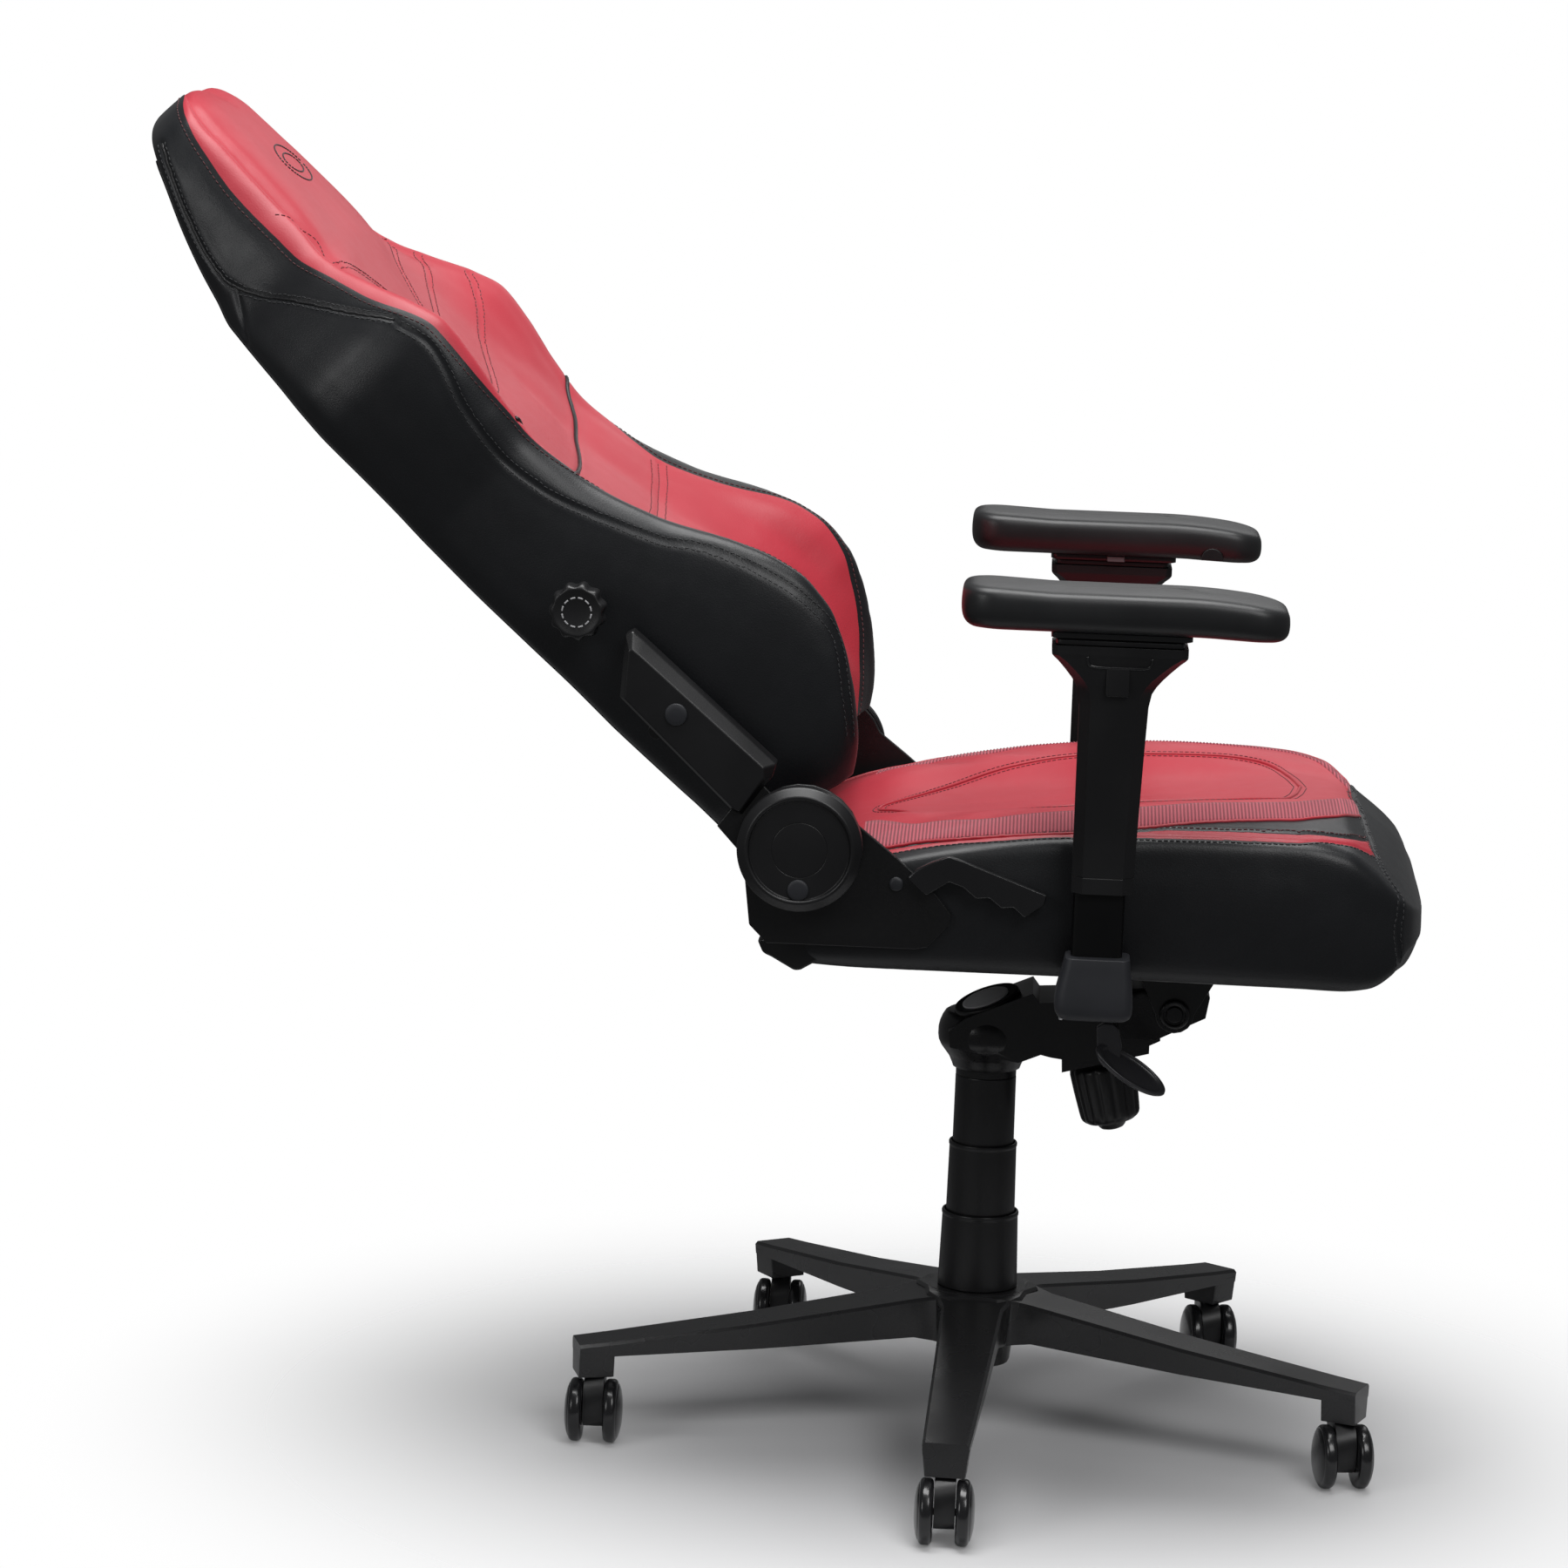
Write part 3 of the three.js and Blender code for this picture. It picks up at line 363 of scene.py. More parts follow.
def lathe(name, profile, material, place=None, sides=72, ends="capped", stretch=(1, 1)):
    """Turned piece: profile of (radius, height); stretched in the plane it becomes oval."""
    rings = [[(stretch[0] * radius * math.cos(a), stretch[1] * radius * math.sin(a), height)
              for a in full_turn(sides)] for radius, height in profile]
    obj = loft(name, rings, material, ends)
    if place is not None:
        obj.data.transform(place)
    obj.modifiers.new("normals", "WEIGHTED_NORMAL")
    return obj


def at(x, y, z, rotation=None):
    """Transform in metres: turn first, then move to a place given in millimetres."""
    move = Matrix.Translation(Vector((x, y, z)) * MM)
    return move @ rotation if rotation is not None else move


def turned_to(side):
    """Turns a lathe's axis to +X or -X."""
    return Matrix.Rotation(side * math.pi / 2, 4, "Y")


def rounded_rectangle(half_x, half_y, radius, steps=6):
    points = []
    for cx, cy, start in ((1, 1, 0), (-1, 1, 90), (-1, -1, 180), (1, -1, 270)):
        for k in range(steps + 1):
            angle = math.radians(start + 90 * k / steps)
            points.append((cx * (half_x - radius) + radius * math.cos(angle),
                           cy * (half_y - radius) + radius * math.sin(angle)))
    return points


def tower(name, levels, material, centre_x, steps=6):
    """Rounded-rectangle sections of (z, half x, half y, corner radius, centre y)."""
    rings = [[(centre_x + a, centre_y + b, z) for a, b in rounded_rectangle(half_x, half_y, radius, steps)]
             for z, half_x, half_y, radius, centre_y in levels]
    obj = loft(name, rings, material)
    obj.modifiers.new("normals", "WEIGHTED_NORMAL")
    return obj


def plate(name, outline, x_from, x_to, material, bevel=1.0, segments=3):
    """Flat piece with an outline in (y, z), thickness along X and rounded edges."""
    obj = loft(name, [[(x, y, z) for y, z in outline] for x in (x_from, x_to)], material)
    return bevelled(obj, bevel, segments, 25)


def tube_mesh(line, radius, sides=8):
    """Points and faces of a round bar along a line."""
    line = np.asarray(line, float)
    along = np.gradient(line, axis=0)
    along /= np.linalg.norm(along, axis=1)[:, None]
    points = []
    across = np.cross(along[0], [0.31, 0.57, 0.76])
    for centre, direction in zip(line, along):
        across = across - direction * np.dot(across, direction)
        across /= np.linalg.norm(across)
        other = np.cross(direction, across)
        for angle in full_turn(sides):
            points.append(centre + radius * (across * math.cos(angle) + other * math.sin(angle)))
    return points, ring_faces(len(line), sides)


def merged(name, parts, material):
    """One object from several (points, faces) parts."""
    points = []
    faces = []
    for part_points, part_faces in parts:
        start = len(points)
        points.extend(part_points)
        faces.extend([tuple(start + i for i in face) for face in part_faces])
    return make(name, points, faces, material)


def skin_of(obj):
    """Search tree over an object's final surface."""
    tree = bpy.context.evaluated_depsgraph_get()
    return BVHTree.FromObject(obj, tree)


def laid_on(skin, line, lift=0.0, offset=0.0):
    """Moves a line onto a surface, shifted sideways by offset and up by lift."""
    found = [skin.find_nearest(Vector(p) * MM) for p in line]
    spots = np.array([np.array(hit[0]) / MM for hit in found])
    normals = np.array([np.array(hit[1]) for hit in found])
    if offset:
        along = np.gradient(spots, axis=0)
        sideways = np.cross(normals, along)
        sideways /= np.linalg.norm(sideways, axis=1)[:, None]
        return laid_on(skin, spots + sideways * offset, lift)
    return spots + normals * lift


def stitches(skin, line, offsets=(0,), length=3.4, gap=1.5, radius=0.42):
    """Rows of short rounded stitches along a seam line, as (points, faces) parts."""
    step = 0.5
    pitch = int(round((length + gap) / step))
    count = int(round(length / step))
    parts = []
    for offset in offsets:
        track = even(laid_on(skin, even(np.asarray(line, float), 3), 0.0, offset), step)
        track = laid_on(skin, track, radius * 0.55)
        for start in range(0, len(track) - count, pitch):
            piece = track[start:start + count + 1]
            core = piece[[0, 1, len(piece) // 2, -2, -1]]
            points, faces = tube_mesh(core, radius, 6)
            points = np.array(points).reshape(5, 6, 3)
            for end in (0, -1):
                points[end] = core[end] + (points[end] - core[end]) * 0.4
            parts.append((points.reshape(-1, 3), faces))
    return parts


def point_tree(points):
    """Search tree over points."""
    tree = KDTree(len(points))
    for i, point in enumerate(points):
        tree.insert(Vector(point), i)
    tree.balance()
    return tree


def seam_distance(points, lines):
    """Distance from each point to the nearest of the seam lines, given with even fine spacing."""
    tree = point_tree(np.vstack(lines))
    return np.array([tree.find(Vector(p))[2] for p in points])


def mirrored(points):
    """The same line on the other side of the chair."""
    return np.array(points, float) * [-1, 1, 1]


# ---------------------------------------------------------------- upholstery grid

VOXEL = 7.0
PIN_REACH = 9.0
TRANSFER_POINTS = 32
TRANSFER_REACH = 15.0
CREASE_WIDTH = 2.2
CLOTH_FRAMES = 20
CLOTH = {
    "quality": 5, "mass": 0.3, "tension_stiffness": 12, "compression_stiffness": 12, "shear_stiffness": 5,
    "bending_stiffness": 0.6, "use_pressure": True, "uniform_pressure_force": 2.4,
}
SWELL_CAP = 5.0


def blown_up(name, points, faces, seams, held):
    """How a cloth simulation under pressure moves each point; the cover is held at its seams and frame."""
    body = recalculate(make(name + "_cloth", points, faces, RED))
    remesh = body.modifiers.new("remesh", "REMESH")
    remesh.mode = "VOXEL"
    remesh.voxel_size = VOXEL * MM
    bpy.context.view_layer.update()
    mesh = bpy.data.meshes.new_from_object(body.evaluated_get(bpy.context.evaluated_depsgraph_get()))
    body.modifiers.clear()
    body.data = mesh
    rest = np.array([v.co for v in mesh.vertices]) / MM
    pinned = np.maximum(np.clip(1.4 - seam_distance(rest, seams) / PIN_REACH, 0, 1), held(rest))
    group = body.vertex_groups.new(name="held")
    for i, weight in enumerate(pinned):
        if weight > 0:
            group.add([i], float(weight), "REPLACE")
    cloth = body.modifiers.new("cloth", "CLOTH")
    for setting, value in CLOTH.items():
        setattr(cloth.settings, setting, value)
    cloth.settings.vertex_group_mass = "held"
    cloth.settings.effector_weights.gravity = 0
    cloth.collision_settings.use_collision = False
    cloth.point_cache.frame_start = 1
    cloth.point_cache.frame_end = CLOTH_FRAMES
    for number in range(1, CLOTH_FRAMES + 1):
        bpy.context.scene.frame_set(number)
    result = body.evaluated_get(bpy.context.evaluated_depsgraph_get()).to_mesh()
    moved = np.array([v.co for v in result.vertices]) / MM - rest
    bpy.context.scene.frame_set(1)
    bpy.data.objects.remove(body)
    size = np.linalg.norm(moved, axis=1)
    moved *= (SWELL_CAP * np.tanh(size / SWELL_CAP) / np.maximum(size, 1e-6))[:, None]
    tree = point_tree(rest)
    out = np.zeros_like(points)
    for i, spot in enumerate(points):
        found = tree.find_n(Vector(spot), TRANSFER_POINTS)
        weights = np.exp(-(np.array([hit[2] for hit in found]) / TRANSFER_REACH) ** 2)
        out[i] = weights @ moved[[hit[1] for hit in found]] / weights.sum()
    return out


def rear_of_back(points):
    """1 where the back cover is glued to its shell: its rear, more than 25 mm behind the hinge."""
    forward = (points - [0, HINGE[1], HINGE[2]]) @ FORWARD
    return (forward < -25).astype(float)


def under_seat(points):
    """1 where the seat cover is stapled under the seat pan."""
    return (points[:, 2] < 470).astype(float)


def upholstery(name, rings, row_slots, materials, seams, depth, held, body, nodes):
    """Closed cushion from equal rings, pressed in along its seams and swollen between them."""
    rings = np.asarray(rings, float)
    rows, sides = rings.shape[:2]
    points = rings.reshape(-1, 3)
    along = np.gradient(rings, axis=0)
    around = np.roll(rings, -1, axis=1) - np.roll(rings, 1, axis=1)
    normals = np.cross(around, along)
    normals /= np.maximum(np.linalg.norm(normals, axis=2), 1e-9)[:, :, None]
    outward = points - points.reshape(rows, sides, 3).mean(axis=1).repeat(sides, axis=0)
    if np.sum(np.sum(normals.reshape(-1, 3) * outward, axis=1)) < 0:
        normals = -normals
    far = seam_distance(points, seams)
    faces = ring_faces(rows, sides)
    normals = normals.reshape(-1, 3)
    swell = blown_up(name, points, faces, seams, held)
    crease = -depth * np.exp(-(far / CREASE_WIDTH) ** 2)
    ridge = 0.15 * depth * np.exp(-((far - 6.0) / 3.0) ** 2)
    points = points + swell + normals * (crease + ridge)[:, None]
    slots = list(row_slots.reshape(-1)) + [1, 1]
    obj = make(name, points, faces, materials, slots)
    recalculate(obj)
    finish_piece(obj, body, "red_upholstery", *nodes)
    return obj


# ---------------------------------------------------------------- backrest

BACK_LOW = 8
BACK_TOP = 811
BACK_ROW = 2.9
HEAD_START = 792  # from here up the rows are closer together
HEAD_ROWS = 14
BACK_COLUMNS = (78, 62, 26)  # red front, black side, rear, on each side
MARK_HEIGHT = 705
# Along the back: half width, rear face, channel between the wings, wing crest.
BACK_STATIONS = [
    (8, 218, -38, 44, 63), (24, 226, -44, 50, 81), (48, 233, -49, 58, 105), (72, 236, -49, 64, 126),
    (97, 238, -50, 68, 140), (122, 239, -51, 70, 149), (148, 240, -52, 71, 151), (178, 240, -53, 71, 145),
    (208, 240, -53, 69, 133), (276, 239, -55, 60, 98), (347, 236, -57, 49, 76), (388, 235, -57, 46, 72),
    (430, 242, -55, 46, 77), (474, 249, -54, 47, 86), (508, 251, -54, 48, 90), (537, 246, -53, 49, 82),
    (573, 228, -52, 51, 66), (609, 206, -52, 54, 52), (632, 190, -52, 56, 48), (655, 180, -46, 57, 48),
    (680, 171, -40, 58, 47), (717, 161, -28, 58, 47), (754, 151, -13, 58, 48), (782, 138, -2, 58, 49),
    (798, 116, 6, 56, 50), (807, 84, 15, 52, 48), (811, 48, 26, 44, 42),
]
# Edge between the red front and the black band: along, out, forward.
RED_EDGE = [
    (811, 40, 45), (806, 84, 50), (801, 106, 47), (789, 126, 42), (750, 150, 35), (704, 163, 30),
    (669, 172, 31), (632, 186, 33), (601, 205, 45), (572, 222, 55), (555, 230, 62), (539, 235, 71),
    (519, 238, 79), (496, 240, 80), (474, 238, 78), (439, 230, 74), (401, 222, 73), (352, 215, 75),
    (319, 206, 79), (297, 202, 85), (267, 202, 97), (234, 201, 113), (191, 213, 138), (165, 213, 147),
    (132, 207, 150), (99, 198, 139), (67, 190, 120), (39, 174, 91), (8, 160, 66),
]
# Seams on the black sides: along, out, forward.
SIDE_SEAM = [
    (532, 242, 62), (507, 246, 69), (484, 245, 65), (451, 242, 53), (420, 238, 47), (390, 233, 44),
    (349, 233, 51), (313, 233, 64), (258, 234, 90), (227, 231, 111), (183, 231, 130), (145, 231, 140),
    (110, 228, 140), (89, 228, 132), (60, 226, 108), (30, 222, 84),
]
HEAD_SEAM = [
    (783, 137, 13), (764, 145, 5), (730, 155, -9), (697, 164, -20), (672, 171, -24), (655, 179, -22),
    (634, 189, -11), (607, 207, 11), (570, 228, 38), (538, 240, 62),
]
HEAD_TAIL = [(650, 181, -22), (633, 188, -32), (607, 193, -44)]
# Seams across the red front, from its edge to the middle: along, out.
CURVED_PAIR = [(584, 198), (564, 160), (547, 122), (534, 84), (524, 48), (519, 0)]
NECK_PAIR = [(609, 176), (600, 142), (586, 104), (565, 68), (546, 40), (532, 18), (526, 0)]
CHEVRON_PAIR = [(541, 216), (522, 193), (502, 166), (479, 122), (462, 78), (449, 38), (444, 0)]
SHOULDER_EDGE = [(412, 221), (404, 206), (379, 169), (360, 113), (348, 50), (344, 0)]
NECK_FOLD = [(671, 168), (657, 162), (643, 152), (632, 152), (620, 166), (607, 186)]
TRIPLE_BAND = [(298, 196), (283, 157), (272, 115), (266, 50), (265, 0)]


def back_half_ring(half, rear, centre, wing):
    """Half section of the back as (out, forward), from the front middle round to the rear middle."""
    depth = wing - rear
    rise = wing - centre
    return [
        (0, centre), (0.28 * half, centre + 0.03 * rise), (0.54 * half, centre + 0.14 * rise),
        (0.72 * half, centre + 0.50 * rise), (0.84 * half, wing - 0.045 * depth), (0.925 * half, wing),
        (0.978 * half, wing - 0.1 * depth), (half, wing - 0.3 * depth), (1.004 * half, rear + 0.5 * depth),
        (half, rear + 0.3 * depth), (0.975 * half, rear + 0.1 * depth + 1), (0.9 * half, rear + 3),
        (0.55 * half, rear + 2), (0, rear + 2),
    ]


def split_evenly(line, cuts, counts):
    """Points of a line between cut fractions, so that each cut falls on a point."""
    run = run_of(line)
    places = []
    for low, high, count in zip(cuts[:-1], cuts[1:], counts):
        places.extend(np.linspace(low, high, count, endpoint=False))
    places.append(cuts[-1])
    places = np.array(places) * run[-1]
    return np.stack([np.interp(places, run, line[:, k]) for k in range(line.shape[1])], 1)


def nearest_fraction(line, spot):
    """How far along a line, from 0 to 1, its point nearest to a spot is."""
    run = run_of(line)
    return run[np.argmin(np.linalg.norm(line - spot, axis=1))] / run[-1]


def grid_tree(rings):
    """Search tree over the surface between rings of points."""
    return BVHTree.FromPolygons([Vector(p) for ring in rings for p in ring],
                                ring_faces(len(rings), len(rings[0]), "open"))


def build_back():
    half, rear, centre, wing = tracks(BACK_STATIONS)
    edge_out, edge_forward = tracks([(v, x, u) for v, x, u in RED_EDGE])
    heights = np.concatenate([np.arange(BACK_LOW, HEAD_START, BACK_ROW),
                              np.linspace(HEAD_START, BACK_TOP, HEAD_ROWS)])
    sections = [smooth_path(back_half_ring(half(v), rear(v), centre(v), wing(v)), 1.0) for v in heights]
    cuts = np.array([nearest_fraction(s, (edge_out(v), edge_forward(v))) for s, v in zip(sections, heights)])
    cuts = np.convolve(np.pad(cuts, 4, mode="edge"), np.ones(9) / 9, mode="valid")
    rings = []
    for v, section, cut in zip(heights, sections, cuts):
        side_end = nearest_fraction(section, (0.9 * half(v), rear(v) + 3))
        right = split_evenly(section, (0, cut, side_end, 1), BACK_COLUMNS)
        loop = np.vstack([right, right[1:-1][::-1] * [-1, 1]])
        lean = 0.3 * (50 - loop[:, 1]) * max(0, 1 - (v - BACK_LOW) / 60)
        rings.append([on_back(x, u, v + shift) for (x, u), shift in zip(loop, lean)])
    sides = len(rings[0])
    red = BACK_COLUMNS[0]
    slots = np.ones((len(rings) - 1, sides), int)
    slots[:, :red] = 0
    slots[:, sides - red:] = 0
    front = grid_tree(rings)
    lines = {"red_edge": even(np.array([ring[red] for ring in rings]), 1.5)}
    for name, path in (("side", SIDE_SEAM), ("head", HEAD_SEAM), ("tail", HEAD_TAIL)):
        lines[name] = smooth_path([on_back(x, u, v) for v, x, u in path], 1.5)
    for name, path in (("curved", CURVED_PAIR), ("chevron", CHEVRON_PAIR), ("shoulder", SHOULDER_EDGE),
                       ("neck", NECK_PAIR), ("fold", NECK_FOLD), ("triple", TRIPLE_BAND)):
        lines[name] = even(np.array([project_forward(front, x, v) for v, x in smooth_path(path, 4)]), 1.5)
    pressed = []
    for name, line in lines.items():
        lines[name] = np.array([np.array(front.find_nearest(Vector(p))[0]) for p in line])
        if name not in ("fold", "red_edge"):
            pressed.extend([lines[name], mirrored(lines[name])])
    cover = upholstery("back_cover", rings, slots, [RED, BLACK], pressed, 1.3, rear_of_back, "backrest",
                       ["back_lower_cushion", "back_upper_cushion", "head_cushion"])
    sew_back(cover, lines)


def project_forward(tree, x, v, scale=1.0):
    """The front surface's point over (out, along) of the back; scale takes millimetres to the tree's unit."""
    hit = tree.ray_cast(Vector(on_back(x, 260, v)) * scale, Vector(-FORWARD))
    return np.array(hit[0] if hit[0] is not None else on_back(x, 60, v) * scale) / scale


def piping(name, skin, lines, body, slot, material, radius, lift):
    """Welts with a round core along lines on a cover."""
    parts = [tube_mesh(laid_on(skin, even(line, 4), lift), radius) for line in lines]
    finish_piece(merged(name, parts, material), body, slot)


def sew_back(cover, lines):
    skin = skin_of(cover)
    red = []
    black = []
    for flip, turn in ((1, np.array), (-1, mirrored)):
        red += stitches(skin, turn(lines["red_edge"]), (-5 * flip,))
        for name in ("curved", "chevron", "neck"):
            red += stitches(skin, turn(lines[name]), (4.5, -4.5))
        red += stitches(skin, turn(lines["fold"]), (3,))
        red += stitches(skin, turn(lines["triple"]), (-8, 0, 8))
        for name in ("side", "head"):
            black += stitches(skin, turn(lines[name]), (4, -4))
    finish_piece(merged("back_red_stitches", red, THREAD_RED), "backrest", "red_upholstery")
    finish_piece(merged("back_black_stitches", black, THREAD_BLACK), "backrest", "black_upholstery")
    for name, radius, lift in (("shoulder", 2.2, 0.6), ("head", 1.3, -0.3)):
        both = (lines[name], mirrored(lines[name]))
        piping(name + "_piping", skin, both, "backrest", "black_upholstery", PIPING_BLACK, radius, lift)
    mark = []
    for half_x, half_y, count in ((44, 21, 49), (30, 11, 37)):
        oval = [project_forward(skin, half_x * math.cos(a), MARK_HEIGHT + half_y * math.sin(a), MM)
                for a in np.linspace(0, 2 * math.pi, count)]
        mark += stitches(skin, oval, (0,), 3.2, 0.8, 0.7)
    finish_piece(merged("headrest_stitched_oval", mark, THREAD_BLACK), "backrest", "black_upholstery")


PANEL_LOW = 46
PANEL_TOP = 785
PANEL_THICKNESS = 3.2


def build_rear_panel():
    """Rear cover: a thin crowned panel with a piped edge."""
    half, rear = tracks(BACK_STATIONS)[:2]
    heights = np.arange(PANEL_LOW + 2, PANEL_TOP - 2, 7)
    across = np.linspace(-1, 1, 41)
    front = []
    for v in heights:
        for t in across:
            crown = 1.6 * (1 - t * t) * min(1, (v - PANEL_LOW) / 40, (PANEL_TOP - v) / 40)
            front.append(on_back(0.86 * half(v) * t, rear(v) + 1.6 - crown + 0.6 * t * t, v))
    back = [p + FORWARD * PANEL_THICKNESS for p in front]
    count = len(across)
    rows = len(heights)
    faces = []
    for r in range(rows - 1):
        for c in range(count - 1):
            a = r * count + c
            faces.append((a, a + 1, a + count + 1, a + count))
            b = a + rows * count
            faces.append((b, b + count, b + count + 1, b + 1))
    rim = (list(range(count)) + [r * count + count - 1 for r in range(1, rows)]
           + [(rows - 1) * count + c for c in range(count - 2, -1, -1)]
           + [r * count for r in range(rows - 2, 0, -1)])
    for a, b in zip(rim, rim[1:] + rim[:1]):
        faces.append((b, a, a + rows * count, b + rows * count))
    panel = recalculate(make("rear_cover", front + back, faces, BLACK))
    finish_piece(panel, "backrest", "black_upholstery", "rear_panel")
    edge = [front[i] for i in rim]
    pipe = tube_mesh(even(np.array(edge + edge[:1]), 6), 1.8)
    finish_piece(merged("rear_cover_piping", [pipe], PIPING_BLACK), "backrest", "black_upholstery")


# ---------------------------------------------------------------- seat

# From back to front: half width, bottom, bottom edge, side top.
SEAT_STATIONS = [
    (186, 205, 474, 474, 500), (176, 225, 462, 464, 522), (150, 248, 457, 457, 533),
    (100, 260, 457, 457, 548), (30, 262, 457, 457, 564), (-60, 262, 457, 457, 575),
    (-180, 262, 456, 456, 580), (-255, 260, 455, 455, 579), (-290, 258, 453, 454, 572),
    (-312, 254, 452, 456, 558), (-332, 246, 452, 467, 540), (-346, 230, 457, 486, 527),
    (-357, 190, 470, 492, 517), (-363, 120, 488, 496, 508),
]
# From back to front: crest out, crest height, height in the middle of the seat.
SEAT_CREST = [
    (186, 120, 506, 504), (150, 128, 546, 538), (100, 136, 565, 548), (30, 172, 575.7, 553),
    (-60, 185, 584.7, 562), (-120, 178, 590, 568), (-180, 167, 593, 573), (-255, 141, 595, 582),
    (-290, 107, 592, 586), (-312, 62, 583, 582), (-332, 60, 566, 566), (-346, 58, 551, 551),
    (-357, 50, 534, 534), (-363, 40, 516, 516),
]
# Upper and lower edge of the ribbed strip, top and lower edge of the red band: out, by station.
STRIP_EDGES = [
    (186, 100, 165, 170, 190), (150, 118, 195, 199, 212), (112, 131, 214, 218, 230),
    (89, 148, 222, 225, 235), (61, 168, 226, 229, 238), (42, 175, 230, 232, 240),
    (-9, 188, 236, 237, 245), (-62, 193, 239, 240, 246), (-118, 188, 231, 236, 249),
    (-138, 183, 227, 232, 250), (-175, 170, 218, 231, 250), (-192, 166, 214, 230, 249.5),
    (-247, 146, 198, 227, 247), (-273, 120, 175, 219, 236), (-291, 85, 150, 208, 224),
    (-307, 45, 113, 180, 209), (-317, 20, 88, 155, 195),
]
RED_END = -317
# Seam around the middle of the seat, right half from back to front: station, out.
SEAT_SEAM = [
    (102, 0), (99, 12), (84, 30), (48, 76), (12, 110), (-24, 131), (-68, 143), (-130, 137), (-185, 128),
    (-216, 117), (-241, 94), (-255, 50), (-262, 0),
]
# Seam down the front corner: out, station, height.
CORNER_SEAM = [(197, -317, 562), (222, -325, 552), (238, -333, 530), (244, -334, 505), (236, -334, 478)]
SEAT_ROW = 3.0
SEAT_REAR = 186
SEAT_FRONT = -345  # the rounded nose runs from here to the foremost point
SEAT_TIP = -363
SEAT_COLUMNS = (60, 18, 16, 10, 44, 30)  # centre, ribbed strip, wedge, band, side, underside, on each side
ABOVE_SEAT = 700


def front_pull(x, y):
    """How far back the front seam lies in the middle compared with the corners."""
    return 9 * max(0, 1 - abs(y - RED_END) / 32) * max(0, 1 - (x / 200) ** 2)


def seat_half_ring(h, bottom, edge, side, crest_out, crest_top, middle):
    """Half section of the seat as (out, height), from the top middle round to the middle of the underside."""
    height = side - edge
    rise = crest_top - middle
    return [
        (0, middle), (0.45 * crest_out, middle + 0.12 * rise), (0.8 * crest_out, crest_top - 0.22 * rise),
        (crest_out, crest_top), (0.5 * (crest_out + 0.95 * h), 0.5 * (crest_top + side) + 1.5),
        (0.9 * h, side + 2.0), (0.95 * h, side), (0.99 * h, side - 0.07 * height), (h, edge + 0.7 * height),
        (h, edge + 0.32 * height), (0.985 * h, edge + 0.09 * height), (0.93 * h, edge), (0.6 * h, bottom),
        (0, bottom),
    ]


def fraction_at(section, out):
    """Where the top of a half section reaches a distance out from the middle."""
    top = section[:np.argmax(section[:, 0])]
    index = np.searchsorted(np.maximum.accumulate(top[:, 0]), out)
    return nearest_fraction(section, top[min(index, len(top) - 1)])


def build_seat():
    half, bottom, edge, side = tracks(SEAT_STATIONS)
    crest_out, crest_top, middle = tracks(SEAT_CREST)
    strip = tracks(STRIP_EDGES)
    places = np.concatenate([np.arange(SEAT_REAR, RED_END, -SEAT_ROW), [RED_END],
                             np.arange(RED_END - SEAT_ROW / 2, SEAT_FRONT, -SEAT_ROW / 2),
                             np.linspace(SEAT_FRONT, SEAT_TIP, 26)])
    rings = []
    for y in places:
        h = half(y)
        section = smooth_path(seat_half_ring(
            h, bottom(y), edge(y), side(y), crest_out(y), crest_top(y), middle(y)), 1.0)
        side_low = nearest_fraction(section, np.array([0.985 * h, edge(y) + 0.09 * (side(y) - edge(y))]))
        cuts = [0] + [fraction_at(section, track(y)) for track in strip] + [side_low, 1]
        for i in range(1, len(cuts)):
            cuts[i] = max(cuts[i], cuts[i - 1] + 0.0015)
        cuts[-1] = 1
        right = split_evenly(section, cuts, SEAT_COLUMNS)
        loop = np.vstack([right, right[1:-1][::-1] * [-1, 1]])
        rings.append([np.array([x, y + front_pull(x, y), z]) for x, z in loop])
    sides = len(rings[0])
    _, rib_low, band_top, band_low = np.cumsum(SEAT_COLUMNS[:4])
    in_red = places > RED_END - 0.1
    slots = np.ones((len(rings) - 1, sides), int)
    for low, high in ((0, rib_low), (band_top, band_low)):
        for a, b in ((low, high), (sides - high, sides - low)):
            slots[np.ix_(in_red[1:], range(a, b))] = 0
    grid = np.array(rings)
    lines = {}
    for name, column in (("rib_low", rib_low), ("band_top", band_top), ("band_low", band_low)):
        lines[name] = even(grid[in_red, column], 1.5)
    lines["front"] = even(grid[int(np.argmin(abs(places - RED_END))), :band_low + 1], 1.5)
    tree = grid_tree(rings)
    lines["ridge"] = even(np.array([np.array(tree.ray_cast(Vector((x, y, ABOVE_SEAT)), Vector((0, 0, -1)))[0])
                                    for y, x in smooth_path(SEAT_SEAM, 3)]), 1.5)
    corner = smooth_path(CORNER_SEAM, 1.5)
    lines["corner"] = np.array([np.array(tree.find_nearest(Vector(p))[0]) for p in corner])
    pressed = []
    for name in ("band_top", "band_low", "front", "corner"):
        pressed.extend([lines[name], mirrored(lines[name])])
    cushion = upholstery("seat_cover", rings, slots, [RED, BLACK], pressed, 1.5, under_seat, "seat",
                         ["seat_cushion"])
    sew_seat(cushion, lines)
    build_ribs(cushion, strip[0], strip[1])


